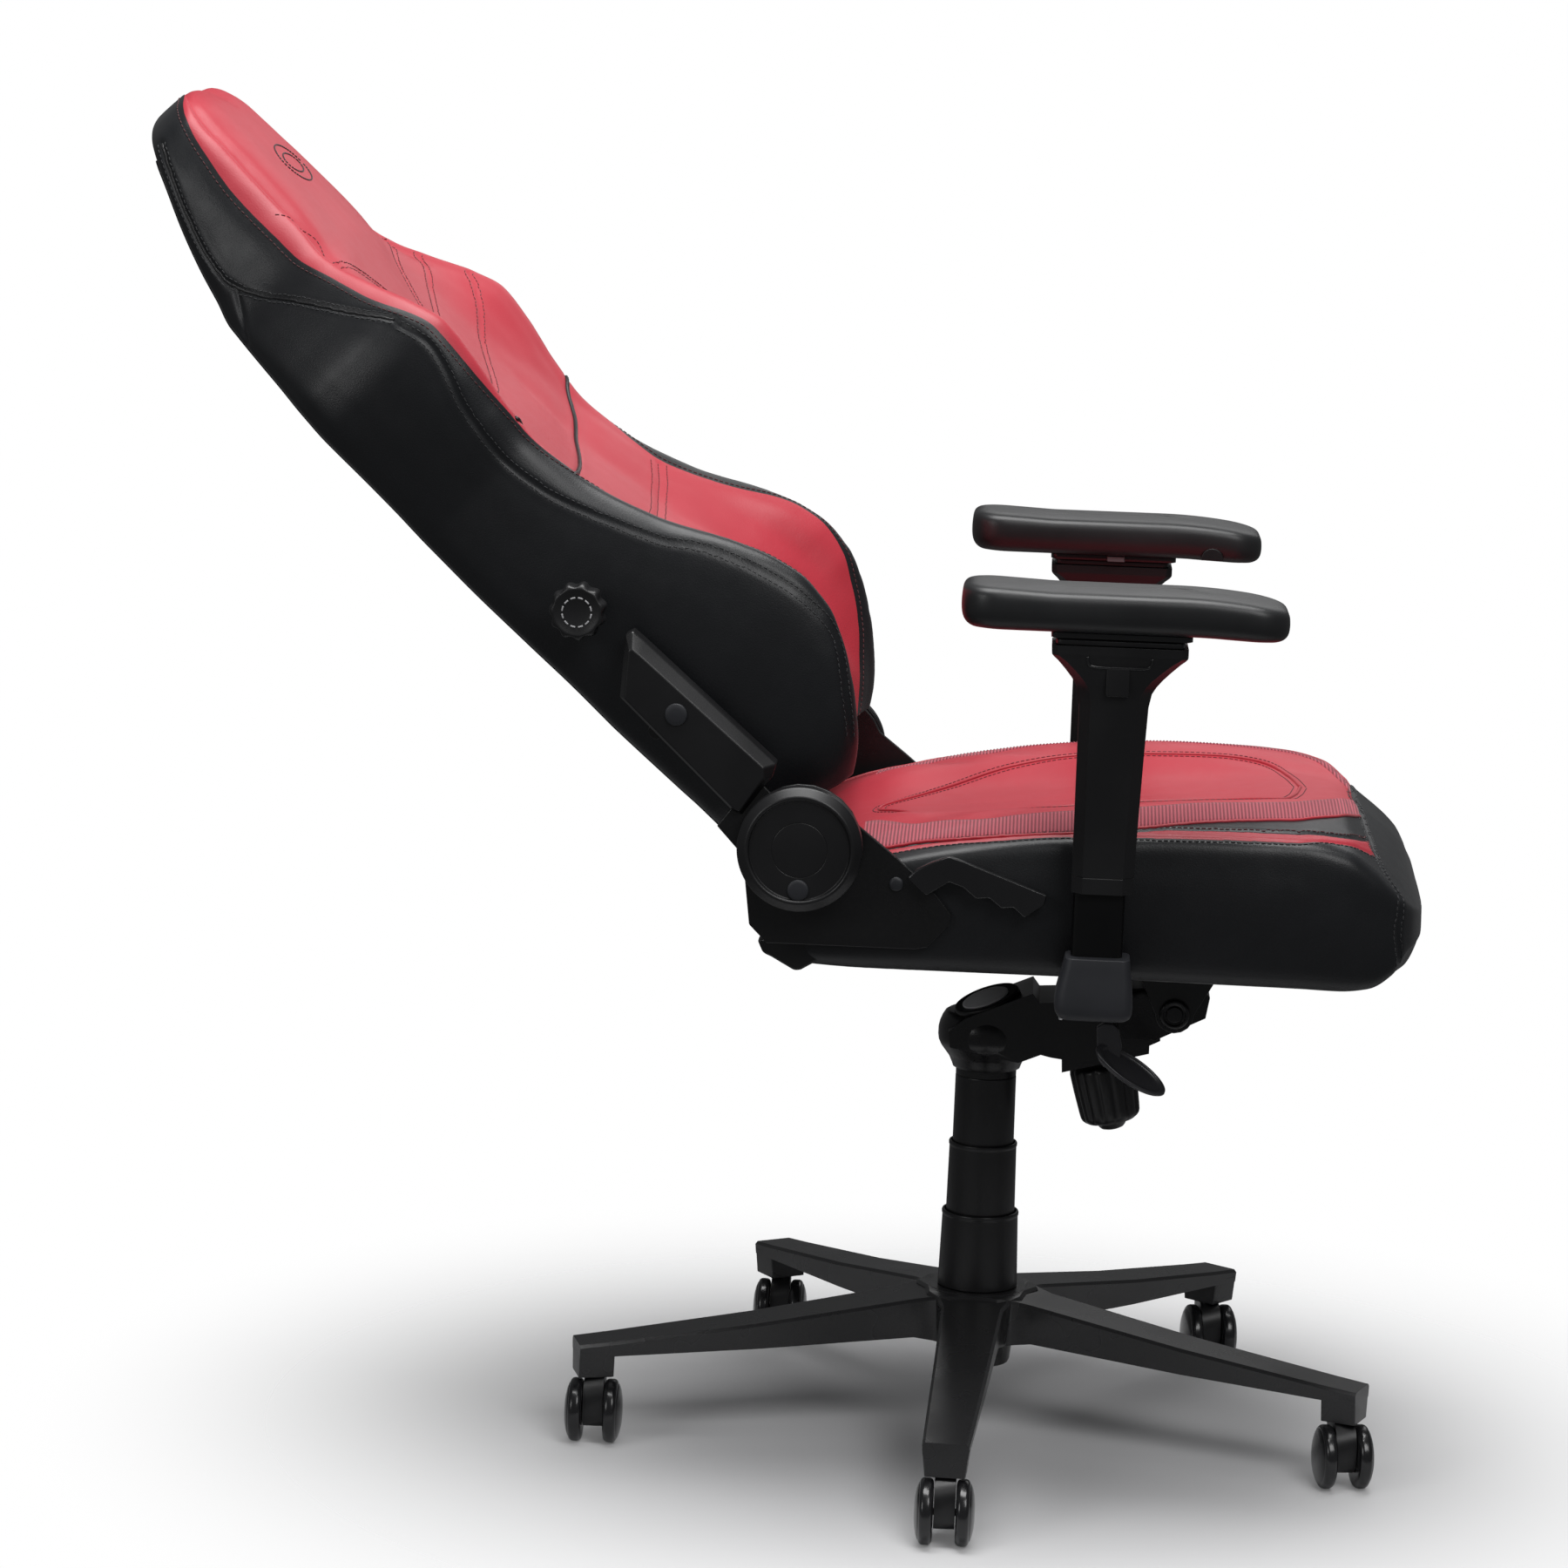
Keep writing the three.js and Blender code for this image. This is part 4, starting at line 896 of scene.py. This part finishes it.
def sew_seat(cushion, lines):
    skin = skin_of(cushion)
    red = []
    black = []
    for flip, turn in ((1, np.array), (-1, mirrored)):
        red += stitches(skin, turn(lines["ridge"]), (5.5, -5.5))
        red += stitches(skin, turn(lines["band_top"]), (-5 * flip,))
        red += stitches(skin, turn(lines["rib_low"]), (2.0,))
        black += stitches(skin, turn(lines["band_low"]), (5 * flip,))
        black += stitches(skin, turn(lines["front"]), (5, -5))
        black += stitches(skin, turn(lines["corner"]), (4, -4))
    finish_piece(merged("seat_red_stitches", red, THREAD_RED), "seat", "red_upholstery")
    finish_piece(merged("seat_black_stitches", black, THREAD_BLACK), "seat", "black_upholstery")
    for name, line, radius in (("seat_ridge_welt", "ridge", 1.6), ("seat_strip_piping", "rib_low", 1.5)):
        both = (lines[line], mirrored(lines[line]))
        piping(name, skin, both, "seat", "red_upholstery", PIPING_RED, radius, 0.2)


def build_ribs(cushion, rib_top, rib_low):
    """Ribbed tape on each side of the seat: a thin closed strip with one real rib per pitch."""
    skin = skin_of(cushion)
    across = 9
    places = np.arange(110, RED_END, -RIB_PITCH / 5)
    points = []
    for y in places:
        wave = 0.5 - 0.5 * math.cos(2 * math.pi * (y - RED_END) / RIB_PITCH)
        for c in range(across):
            t = c / (across - 1)
            x = rib_top(y) + t * (rib_low(y) - rib_top(y))
            pulled = y + front_pull(x, y)
            hit = skin.ray_cast(Vector((x, pulled, ABOVE_SEAT)) * MM, Vector((0, 0, -1)))
            rim = min(1, 6 * t + 0.25, 6 * (1 - t) + 0.25)
            spot = np.array(hit[0]) / MM
            points.append(spot + np.array(hit[1]) * (0.3 + 0.9 * wave * rim))
    points = np.array(points).reshape(len(places), across, 3)
    under = points - [0, 0, 2.2]
    rings = np.concatenate([points, under[:, ::-1]], axis=1)
    strip = rings.reshape(-1, 3)
    faces = ring_faces(len(places), 2 * across)
    parts = [(strip, faces), (mirrored(strip), [face[::-1] for face in faces])]
    finish_piece(recalculate(merged("seat_ribbed_tape", parts, RIBBED)), "seat", "red_upholstery")


# ---------------------------------------------------------------- arms

def build_arms():
    for side, name in SIDES:
        build_pad(side, name)
        sleeve = tower("sleeve_cover_" + name, [
            (538, 18, 25, 9, -89), (551, 18.1, 25.2, 9, -89.2), (551.2, 17.7, 24.8, 9, -89.2),
            (551.9, 17.7, 24.8, 9, -89.2), (552.1, 18.1, 25.2, 9, -89.2), (600, 18.5, 26, 9, -90),
            (650, 18.8, 27, 9, -91), (692, 19, 28, 9, -92), (703, 19.4, 29.6, 9, -92.6),
            (709, 20.4, 32.5, 9, -93.2), (715, 21.6, 37, 9, -93.6), (722, 23.4, 43, 8, -94.2),
            (729, 25.4, 49.6, 7, -94.8), (732, 26.4, 53, 6, -95), (734, 27, 54.6, 5, -95),
            (735.5, 27.2, 55, 5, -95), (742, 27.2, 55, 5, -95),
        ], PLASTIC, side * 290, 1)
        bevelled(sleeve, 0.8, 3, 22)
        slide = tower("slide_plate_cover_" + name, [
            (747.4, 27, 55, 6, -96), (748, 28, 57, 6, -96), (752, 28, 57, 6, -96),
            (752.6, 27.4, 56.4, 6, -96),
        ], GLOSS, side * 287, 4)
        finish_piece(slide, "arm_slide_" + name, "black_plastic", "arm_slide_plate_" + name)
        finish_piece(sleeve, "arm_" + name, "black_plastic", "arm_sleeve_" + name)
        lip = smooth_path([(side * x, y, z) for x, y, z in (
            (316.8, -121, 734), (315.3, -120.5, 729), (314.4, -116, 725.6), (314.2, -95, 725),
            (314.4, -74, 725.6), (315.3, -69.5, 729), (316.8, -69, 734))], 1.5)
        rim = merged("sleeve_lip_" + name, [tube_mesh(lip, 1.3, 10)], GLOSS)
        finish_piece(rim, "arm_" + name, "black_plastic")
        boot = tower("boot_cover_" + name, [
            (433, 15, 22, 8, -87), (433.8, 19, 26, 8, -87), (436, 21.4, 29.4, 9, -86.7),
            (440, 22.8, 31.4, 9, -86.3), (446, 23, 32, 9, -86), (455, 22.6, 31.4, 9, -86.3),
            (466, 21.4, 29.6, 8, -87), (476, 20.2, 27.6, 7.5, -87.6), (484, 19.5, 26.5, 7, -88),
            (485, 18.6, 25.6, 6.4, -88),
        ], BOOT, side * 292, 8)
        finish_piece(boot, "seat", "black_plastic", "arm_boot_" + name)


PAD_HALF = np.array([50, 132.5])
PAD_CORNER = 27.5
PAD_RISE = 34.5
# Arm pad from its underside up: height, half x, half y, corner radius.
PAD_LEVELS = [
    (0, 36, 120, 21), (1.2, 40, 124, 22), (3.2, 43.6, 127.6, 24), (6.5, 47, 130.4, 26),
    (11, 49.2, 132, 27), (17, 50, 132.5, 27.5), (23, 49.8, 132.3, 27.5), (27, 49.2, 131.8, 27),
    (30, 47.6, 130.4, 26), (31.8, 45.2, 128.2, 25), (33, 42, 125, 23), (33.7, 37, 120, 21),
    (34.1, 28, 108, 17), (34.4, 16, 84, 12), (34.5, 6, 50, 5),
]


def build_pad(side, name):
    """Soft arm pad: crowned skin over foam with tight corners, drooping a little at the front."""
    outline = even(np.array(rounded_rectangle(*PAD_HALF, PAD_CORNER, 10)), 5.2, closed=True)
    inner = PAD_HALF - PAD_CORNER
    core = np.clip(outline, -inner, inner)
    outward = (outline - core) / PAD_CORNER
    rings = []
    for rise, half_x, half_y, radius in PAD_LEVELS:
        ring = []
        for a, b in core * (np.array([half_x, half_y]) - radius) / inner + outward * radius:
            y = b - 98
            droop = (4 + 5 * rise / PAD_RISE) * max(0, (-y - 140) / 90) ** 2
            lift = 3.5 * max(0, (y + 40) / 75) * rise / PAD_RISE
            ring.append((side * 286 + a, y, 753 + rise - droop + lift))
        rings.append(ring)
    pad = loft("arm_pad_skin_" + name, rings, PAD_SKIN)
    rounding = pad.modifiers.new("round", "SUBSURF")
    rounding.levels = 1
    rounding.render_levels = 1
    finish_piece(pad, "arm_pad_" + name, "arm_foam", "arm_pad_" + name)


# ---------------------------------------------------------------- column, base, casters

COVER_SHELLS = (
    ("lower", "base", [
        (31.5, 130.4), (34.6, 130.4), (35, 131.4), (33.3, 193), (33.3, 194), (33.8, 194.6), (33.9, 196.6),
        (33.4, 197.8), (32.6, 198), (31.5, 198)]),
    ("middle", "middle_cover", [
        (28, 188), (30.4, 188), (29.45, 255), (29.5, 256.2), (30, 256.8), (30.1, 258.8), (29.6, 259.8),
        (28.8, 260), (28, 260)]),
    ("upper", "mechanism", [
        (25.8, 250), (27, 250), (26.7, 300), (26.6, 318.6), (26.4, 319.6), (25.8, 319.7)]),
)


def build_column():
    """Telescopic cover: three open tubes around the gas lift."""
    for name, body, profile in COVER_SHELLS:
        shell = lathe(name + "_cover_shell", profile, PLASTIC, sides=96, ends="joined")
        finish_piece(shell, body, "black_plastic", "cover_" + name)


# Half of a twin wheel, from the gap between the wheels outwards: radius, distance from the middle.
WHEEL = [
    (3, 9.3), (21, 9.3), (24.6, 9.6), (26.2, 10.4), (27.3, 12), (27.6, 13.6), (27.6, 17), (27.2, 18.6),
    (26, 20), (24.4, 20.8), (23.8, 20.6), (23.2, 21.6), (19, 23.2), (13, 24.4), (7, 24.9), (0.05, 25),
]


def build_casters():
    for i in range(1, 6):
        stem = joint_place(f"caster_swivel_{i}")
        axle = joint_place(f"wheel_spin_{i}")
        heading = Matrix.Rotation(math.atan2(stem[1] - axle[1], stem[0] - axle[0]), 4, "Z")
        to_wheel = at(*axle, heading @ Matrix.Rotation(-math.pi / 2, 4, "X"))
        body = f"wheels_{i}"
        first = lathe(f"wheel_{i}_a", [(r, -h) for r, h in WHEEL], GLOSS, to_wheel, 64)
        finish_piece(first, body, "wheel_plastic", f"caster_wheels_{i}")
        second = lathe(f"wheel_{i}_b", WHEEL, GLOSS, to_wheel, 64)
        finish_piece(second, body, "wheel_plastic")
        bar = lathe(f"axle_{i}", [(3, -9.8), (3, 9.8)], STEEL, to_wheel, 24)
        finish_piece(bar, body, "bare_steel")
        fork = NODES[f"caster_fork_{i}"]
        set_look(fork, PLASTIC)
        bevelled(fork, 0.9, 2)


# ---------------------------------------------------------------- mechanism and hinge

def set_look(node, material):
    node.data.materials.clear()
    node.data.materials.append(material)


# Grips of the two knobs: height along the axis, radius, depth of the flutes.
TENSION_KNOB = [
    (0, 26.4, 0), (-0.6, 27.6, 0.2), (-2.5, 29, 1.2), (-5, 29.4, 2.0), (-20, 28.6, 2.1), (-40, 27, 2.0),
    (-45, 26.4, 1.5), (-47.5, 25.4, 0.8), (-49.5, 23.6, 0.3), (-51.5, 20.5, 0), (-52.6, 16, 0),
    (-53.4, 13, 0), (-56, 11.6, 0), (-58, 9.6, 0), (-59, 6.4, 0), (-59.3, 0.1, 0),
]
LUMBAR_KNOB = [
    (240.6, 5, 0), (257.8, 5, 0), (258, 16.6, 0), (263, 17, 0), (264, 19.4, 0.2), (265, 22, 1.2),
    (267, 23.6, 2.4), (272, 24, 2.8), (281, 23.8, 2.8), (285, 23, 2.4), (287, 21.6, 1.4),
    (287.8, 20, 0.4), (288, 18.6, 0), (287.4, 17.6, 0), (287.2, 0.1, 0),
]
LUMBAR_FORWARD = 6
LUMBAR_ALONG = 265


def fluted(levels, flutes, columns, sharpness):
    """Rings of a fluted grip around the height axis."""
    rings = []
    for height, radius, depth in levels:
        reach = [(a, radius - depth * (0.5 - 0.5 * math.cos(flutes * a)) ** sharpness)
                 for a in full_turn(flutes * columns)]
        rings.append([(r * math.cos(a), r * math.sin(a), height) for a, r in reach])
    return rings


def at_lumbar_knob(a, b, height):
    """Takes a point around the lumbar knob's axis to its place."""
    return on_back(-height, LUMBAR_FORWARD + a, LUMBAR_ALONG + b)


def build_knobs():
    knob = loft("tension_knob_body", fluted(TENSION_KNOB, 14, 12, 3), PLASTIC)
    knob.data.transform(at(*joint_place("tension_knob_turn"), Matrix.Rotation(math.radians(-12), 4, "X")))
    finish_piece(knob, "tension_knob", "black_plastic", "tension_knob")
    rings = [[at_lumbar_knob(*point) for point in ring] for ring in fluted(LUMBAR_KNOB, 11, 14, 1)]
    finish_piece(loft("lumbar_knob_body", rings, PLASTIC), "lumbar_knob", "black_plastic", "lumbar_knob")
    collar = lathe("lumbar_knob_collar", [(12.6, -4), (12.6, 3), (11.8, 4), (6.8, 4), (6.2, 3.4), (6.2, -4)],
                   PLASTIC, at(*at_lumbar_knob(0, 0, 241), turned_to(-1)), 48, "joined")
    finish_piece(collar, "backrest", "black_plastic")
    ticks = []
    for angle in full_turn(12):
        arc = [at_lumbar_knob(12 * math.cos(angle + d), 12 * math.sin(angle + d), 287.5)
               for d in np.linspace(-0.17, 0.17, 5)]
        ticks.append(tube_mesh(arc, 0.7, 6))
    finish_piece(merged("lumbar_knob_ticks", ticks, MARK), "lumbar_knob", "grey_plastic")


# Hinge cover from its rim to the recessed middle with a fine ring: radius, height.
HINGE_COVER = [
    (49.6, 0), (50.6, 0.8), (51.4, 2), (51.6, 5), (51.5, 14.6), (51.2, 15.4), (50.4, 16.2), (45.4, 20.8),
    (44.6, 21.4), (43.6, 21.7), (42.4, 21.4), (41.6, 20.4), (41.2, 19.2), (40.8, 18.6), (40.2, 18.5),
    (23.3, 18.6), (23.0, 18.0), (22.4, 18.0), (22.1, 18.6), (0.05, 18.7),
]
HINGE_COVER_X = 281


def build_hinge_covers():
    for side, name in SIDES:
        turn = turned_to(side)
        cover = lathe("hinge_cover_shell_" + name, HINGE_COVER, PLASTIC,
                      at(side * HINGE_COVER_X, *HINGE[1:], turn), 112)
        finish_piece(cover, "seat", "black_plastic", "hinge_cover_" + name)
        cap = lathe("hinge_cap_" + name, [(8.9, 18.2), (8.8, 19.6), (8.2, 20.4), (6, 20.8), (0.05, 20.9)],
                    BOOT, at(side * HINGE_COVER_X, HINGE[1], HINGE[2] - 33, turn), 40)
        finish_piece(cap, "seat", "black_plastic")
        bolt = lathe("back_bracket_bolt_" + name, [(9.4, 0), (9.2, 1.6), (8.4, 2.4), (5, 2.8), (0.05, 2.9)],
                     BOOT, at(*on_back(side * 287.6, 5, 149), turn), 40)
        finish_piece(bolt, "backrest", "bracket_plastic")


# Dished lever paddle from its underside: fraction of the half sizes, height.
PADDLE = [
    (0.05, -2.4), (0.86, -2.6), (0.96, -1.6), (1, 0), (0.985, 1.6), (0.94, 2.4), (0.88, 2.4), (0.83, 1.7),
    (0.78, 0.4), (0.6, 0.2), (0.05, 0.1),
]


def build_levers():
    """Side levers: cross rod, bent stem and a dished oval paddle that faces up and out."""
    for side, body in ((-1, "height_lever"), (1, "tilt_lever")):
        pivot = joint_place(body + ("_lift" if side < 0 else "_turn"))
        rod = tube_mesh([(side * x, pivot[1], pivot[2]) for x in (40.5, 80, 120, 159)], 5, 20)
        stem = plate(body + "_stem", [
            (-92, 399), (-98, 403), (-106, 403), (-111, 399), (-114, 384), (-113, 372), (-108, 365),
            (-100, 365),
            (-95, 371), (-93, 384)], side * 157, side * 166, LEVER, 1.6)
        finish_piece(merged(body + "_rod", [rod], PAINT), body, "painted_steel", body)
        finish_piece(stem, body, "black_plastic")
        turn = Matrix.Rotation(math.radians(32), 4, "X") @ Matrix.Rotation(side * math.radians(36), 4, "Y")
        place = at(side * 170, -122, 364.5, turn)
        paddle = lathe(body + "_paddle", PADDLE, LEVER, place, 64, stretch=(15, 35))
        finish_piece(paddle, body, "black_plastic")


def place_on_back(obj):
    """Takes a piece made in (x, forward, along) of the back to its place."""
    turn = Matrix(((1, 0, 0), (0, FORWARD[1], ALONG[1]), (0, FORWARD[2], ALONG[2])))
    obj.data.transform(at(0, *HINGE[1:], turn.to_4x4()))


# Outlines of the bracket cover on the back, at its edge and on its outer face: along, forward.
BRACKET_EDGE = [(52, -16), (57, 24), (62, 34), (209, 28), (222, 27), (224, 20), (191, -19), (60, -19)]
BRACKET_FACE = [(56, -14), (62, 19), (68, 25), (203, 18), (212, 17), (213, 14), (188, -16), (62, -16)]


def build_back_brackets():
    """Bracket covers on the sides of the back, with a broad chamfer along the front edge."""
    for side, name in SIDES:
        rings = [[on_back(side * x, u, v) for v, u in shape]
                 for x, shape in ((256.5, BRACKET_EDGE), (280, BRACKET_EDGE), (288, BRACKET_FACE))]
        cover = bevelled(loft("bracket_cover_" + name, rings, PLASTIC), 1.2, 3, 20)
        finish_piece(cover, "backrest", "bracket_plastic", "back_bracket_" + name)
        arm = plate("bracket_arm_" + name, [(-30, -4), (14, -6), (14, 62), (-20, 62), (-37, 60), (-39, 30)],
                    side * 275.6, side * 280.6, PAINT)
        place_on_back(arm)
        finish_piece(arm, "backrest", "painted_steel")
        disc = lathe("recliner_disc_" + name, [(44, 0), (45, 0.8), (45, 4.6), (44, 5.4)], PAINT,
                     at(side * 275.3, *HINGE[1:], turned_to(side)))
        finish_piece(disc, "backrest", "painted_steel")


# Button heads on the seat's sides: name, radius and height profile, material, place, sides, body, slot.
BUTTONS = (
    ("mechanism_pin_", [(2.4, 0), (2.4, 1.2), (1.8, 1.8), (0.05, 1.9)], STEEL, (39.6, -63, 381), 24,
     "mechanism", "bare_steel"),
    ("tilt_pivot_boss_", [(13, 0), (13, 2.4), (12, 3.6), (10.4, 4), (9.6, 3.4), (9, 2), (0.05, 1.9)], PAINT,
     (78.4, -160, 396), 48, "seat", "painted_steel"),
    ("seat_bracket_bolt_", [(6, 0), (6, 1.6), (5.2, 2.6), (3, 3), (0.05, 3.1)], BOOT, (268.6, 79, 533), 32,
     "seat", "painted_steel"),
)
CUP = [
    (27.4, 326), (29.5, 327), (30.5, 330), (33.5, 336.5), (36.5, 341), (40.5, 346), (42.6, 350),
    (43.3, 354.5), (43.2, 361), (42.2, 366), (40, 371.5), (37.6, 375.4), (35, 377), (0.05, 377.2),
]


def build_small_parts():
    """Release plate and pins on the mechanism, bolts, rear tabs and buffers under the seat."""
    slope = Matrix.Rotation(math.radians(-21), 4, "X") @ Matrix.Rotation(math.radians(-13), 4, "Y")
    collar = [(1.04, -9), (1.04, 0), (1, 1.6), (0.94, 2.2), (0.9, 1.6), (0.05, 1.5)]
    surround = lathe("release_surround", collar, PLASTIC, at(-16, 2, 389.6, slope), 64, stretch=(23, 29))
    finish_piece(surround, "mechanism", "black_plastic")
    lid = lathe("release_plate", [(1, 0.5), (1, 2.2), (0.96, 2.7), (0.05, 2.8)], LIGHT_PLASTIC,
                at(-17, 2.5, 389.6, slope), 64, stretch=(17, 21))
    finish_piece(lid, "mechanism", "grey_plastic")
    finish_piece(lathe("mechanism_cup_cover", CUP, PAINT, sides=96), "mechanism", "painted_steel")
    for side, name in SIDES:
        for kind, profile, material, (x, y, z), sides, body, slot in BUTTONS:
            button = lathe(kind + name, profile, material, at(side * x, y, z, turned_to(side)), sides)
            finish_piece(button, body, slot)
        tab = plate("seat_rear_tab_" + name, [
            (193, 477), (188, 466), (181, 463), (161, 452), (156, 453), (141, 462), (126, 464),
            (124, 474),
            (150, 480)], side * 226, side * 246, PLASTIC, 2.5)
        finish_piece(tab, "seat", "black_plastic")
    dome = [(9.5, 2), (9.4, -2), (8.4, -5.4), (6.2, -7.8), (3, -9), (0.05, -9.2)]
    for side, name in SIDES:
        foot = lathe("seat_buffer_" + name, dome, PLASTIC, at(side * 180, 1, 455), 36)
        finish_piece(foot, "seat", "black_plastic")


def dress_cad():
    """Materials and rounded edges for the CAD nodes that stay."""
    looks = {
        "star_base": (BASE_PAINT, 2.0), "column_tube": (PAINT, 0.5), "piston_rod": (STEEL, 0.3),
        "gas_cylinder": (PAINT, 0.3), "mechanism_housing": (PAINT, 2.0), "tilt_axle": (PAINT, 0.8),
        "seat_plate": (PAINT, 0.8), "seat_pan": (BOARD, 1.0), "recline_shaft": (PAINT, 0.5),
        "recline_lever": (GLOSS, 1.6),
        "back_frame": (PAINT, 0.8), "lumbar_plate": (PLASTIC, 0.5),
    }
    for _, name in SIDES:
        looks["seat_bracket_" + name] = (PAINT, 2.2)
        looks["recliner_" + name] = (STEEL, 0.6)
        looks["arm_bracket_" + name] = (POST, 1.2)
        looks["arm_height_button_" + name] = (PLASTIC, 1.5)
        looks["arm_pivot_plate_" + name] = (PLASTIC, 1.0)
        looks["arm_slide_button_" + name] = (GREY, 1.0)
        looks["arm_pad_button_" + name] = (PLASTIC, 1.0)
    for name, (material, width) in looks.items():
        set_look(NODES[name], material)
        bevelled(NODES[name], width)


# ---------------------------------------------------------------- stage

FLOOR_RADIUS = 1.4
# Square lights in metres and watts: name, place, width, power.
LIGHTS = (
    ("top", (-0.15, 0.15, 3.2), 2.0, 86), ("key", (-2.6, -1.2, 2.9), 1.5, 36),
    ("fill", (-3.0, 2.8, 2.0), 1.4, 20), ("rim", (2.8, -0.6, 2.4), 1.8, 10),
)


def build_floor():
    """Round pale floor that fades out towards its rim."""
    mesh = bpy.data.meshes.new("floor")
    rim = [(FLOOR_RADIUS * math.cos(a), FLOOR_RADIUS * math.sin(a), 0) for a in full_turn(96)]
    mesh.from_pydata(rim, [], [tuple(range(96))])
    look = Look("pale_floor", (0.80, 0.80, 0.81), 0.8, Specular_IOR_Level=0.1)
    reach = look.node("VectorMath", Vector=look.place)
    reach.operation = "LENGTH"
    fade = look.node("MapRange", Value=reach.outputs["Value"], From_Min=0.22, From_Max=0.85, To_Min=1,
                     To_Max=0)
    fade.interpolation_type = "SMOOTHSTEP"
    look.tree.links.new(fade.outputs["Result"], look.surface.inputs["Alpha"])
    mesh.materials.append(look.material)
    floor = bpy.data.objects.new("floor", mesh)
    bpy.context.scene.collection.objects.link(floor)


def build_studio():
    """White to the camera, a faint even light for the chair, and four soft lamps."""
    scene = bpy.context.scene
    world = bpy.data.worlds.new("studio")
    world.use_nodes = True
    nodes = world.node_tree.nodes
    links = world.node_tree.links
    seen = nodes["Background"]
    seen.inputs["Color"].default_value = (1, 1, 1, 1)
    seen.inputs["Strength"].default_value = 1.0
    soft = nodes.new("ShaderNodeBackground")
    soft.inputs["Color"].default_value = (0.97, 0.98, 1, 1)
    soft.inputs["Strength"].default_value = 0.10
    path = nodes.new("ShaderNodeLightPath")
    mix = nodes.new("ShaderNodeMixShader")
    links.new(path.outputs["Is Camera Ray"], mix.inputs["Fac"])
    links.new(soft.outputs["Background"], mix.inputs[1])
    links.new(seen.outputs["Background"], mix.inputs[2])
    links.new(mix.outputs["Shader"], nodes["World Output"].inputs["Surface"])
    scene.world = world
    scene.view_settings.view_transform = "Standard"
    target = Vector((0, 0.1, 0.6))
    for name, place, width, power in LIGHTS:
        light = bpy.data.lights.new(name, "AREA")
        light.shape = "SQUARE"
        light.size = width
        light.energy = power
        lamp = bpy.data.objects.new(name, light)
        lamp.location = place
        lamp.rotation_euler = (target - Vector(place)).to_track_quat("-Z", "Y").to_euler()
        scene.collection.objects.link(lamp)


CAMERA_ANGLES = (-87.39, 8.99, 2.02)  # azimuth, elevation and roll in degrees
CAMERA_DISTANCE = 4.4916
CAMERA_TARGET = Vector((0, 0.1864, 0.5695))


def build_camera():
    azimuth, elevation, roll = (math.radians(a) for a in CAMERA_ANGLES)
    back = Vector((math.sin(azimuth) * math.cos(elevation), -math.cos(azimuth) * math.cos(elevation),
                   math.sin(elevation)))
    right = (-back).cross(Vector((0, 0, 1))).normalized()
    up = right.cross(-back)
    axis_x = right * math.cos(roll) + up * math.sin(roll)
    axis_y = up * math.cos(roll) - right * math.sin(roll)
    data = bpy.data.cameras.new("camera")
    data.sensor_width = 36
    data.lens = 118.2
    data.clip_end = 50
    camera = bpy.data.objects.new("camera", data)
    turn = Matrix((axis_x, axis_y, back)).transposed().to_4x4()
    camera.matrix_world = Matrix.Translation(CAMERA_TARGET + back * CAMERA_DISTANCE) @ turn
    bpy.context.scene.collection.objects.link(camera)
    bpy.context.scene.camera = camera


build_floor()
build_studio()
build_camera()
build_back()
build_rear_panel()
build_seat()
build_arms()
build_column()
build_casters()
build_knobs()
build_hinge_covers()
build_levers()
build_back_brackets()
build_small_parts()
dress_cad()

bpy.context.view_layer.update()
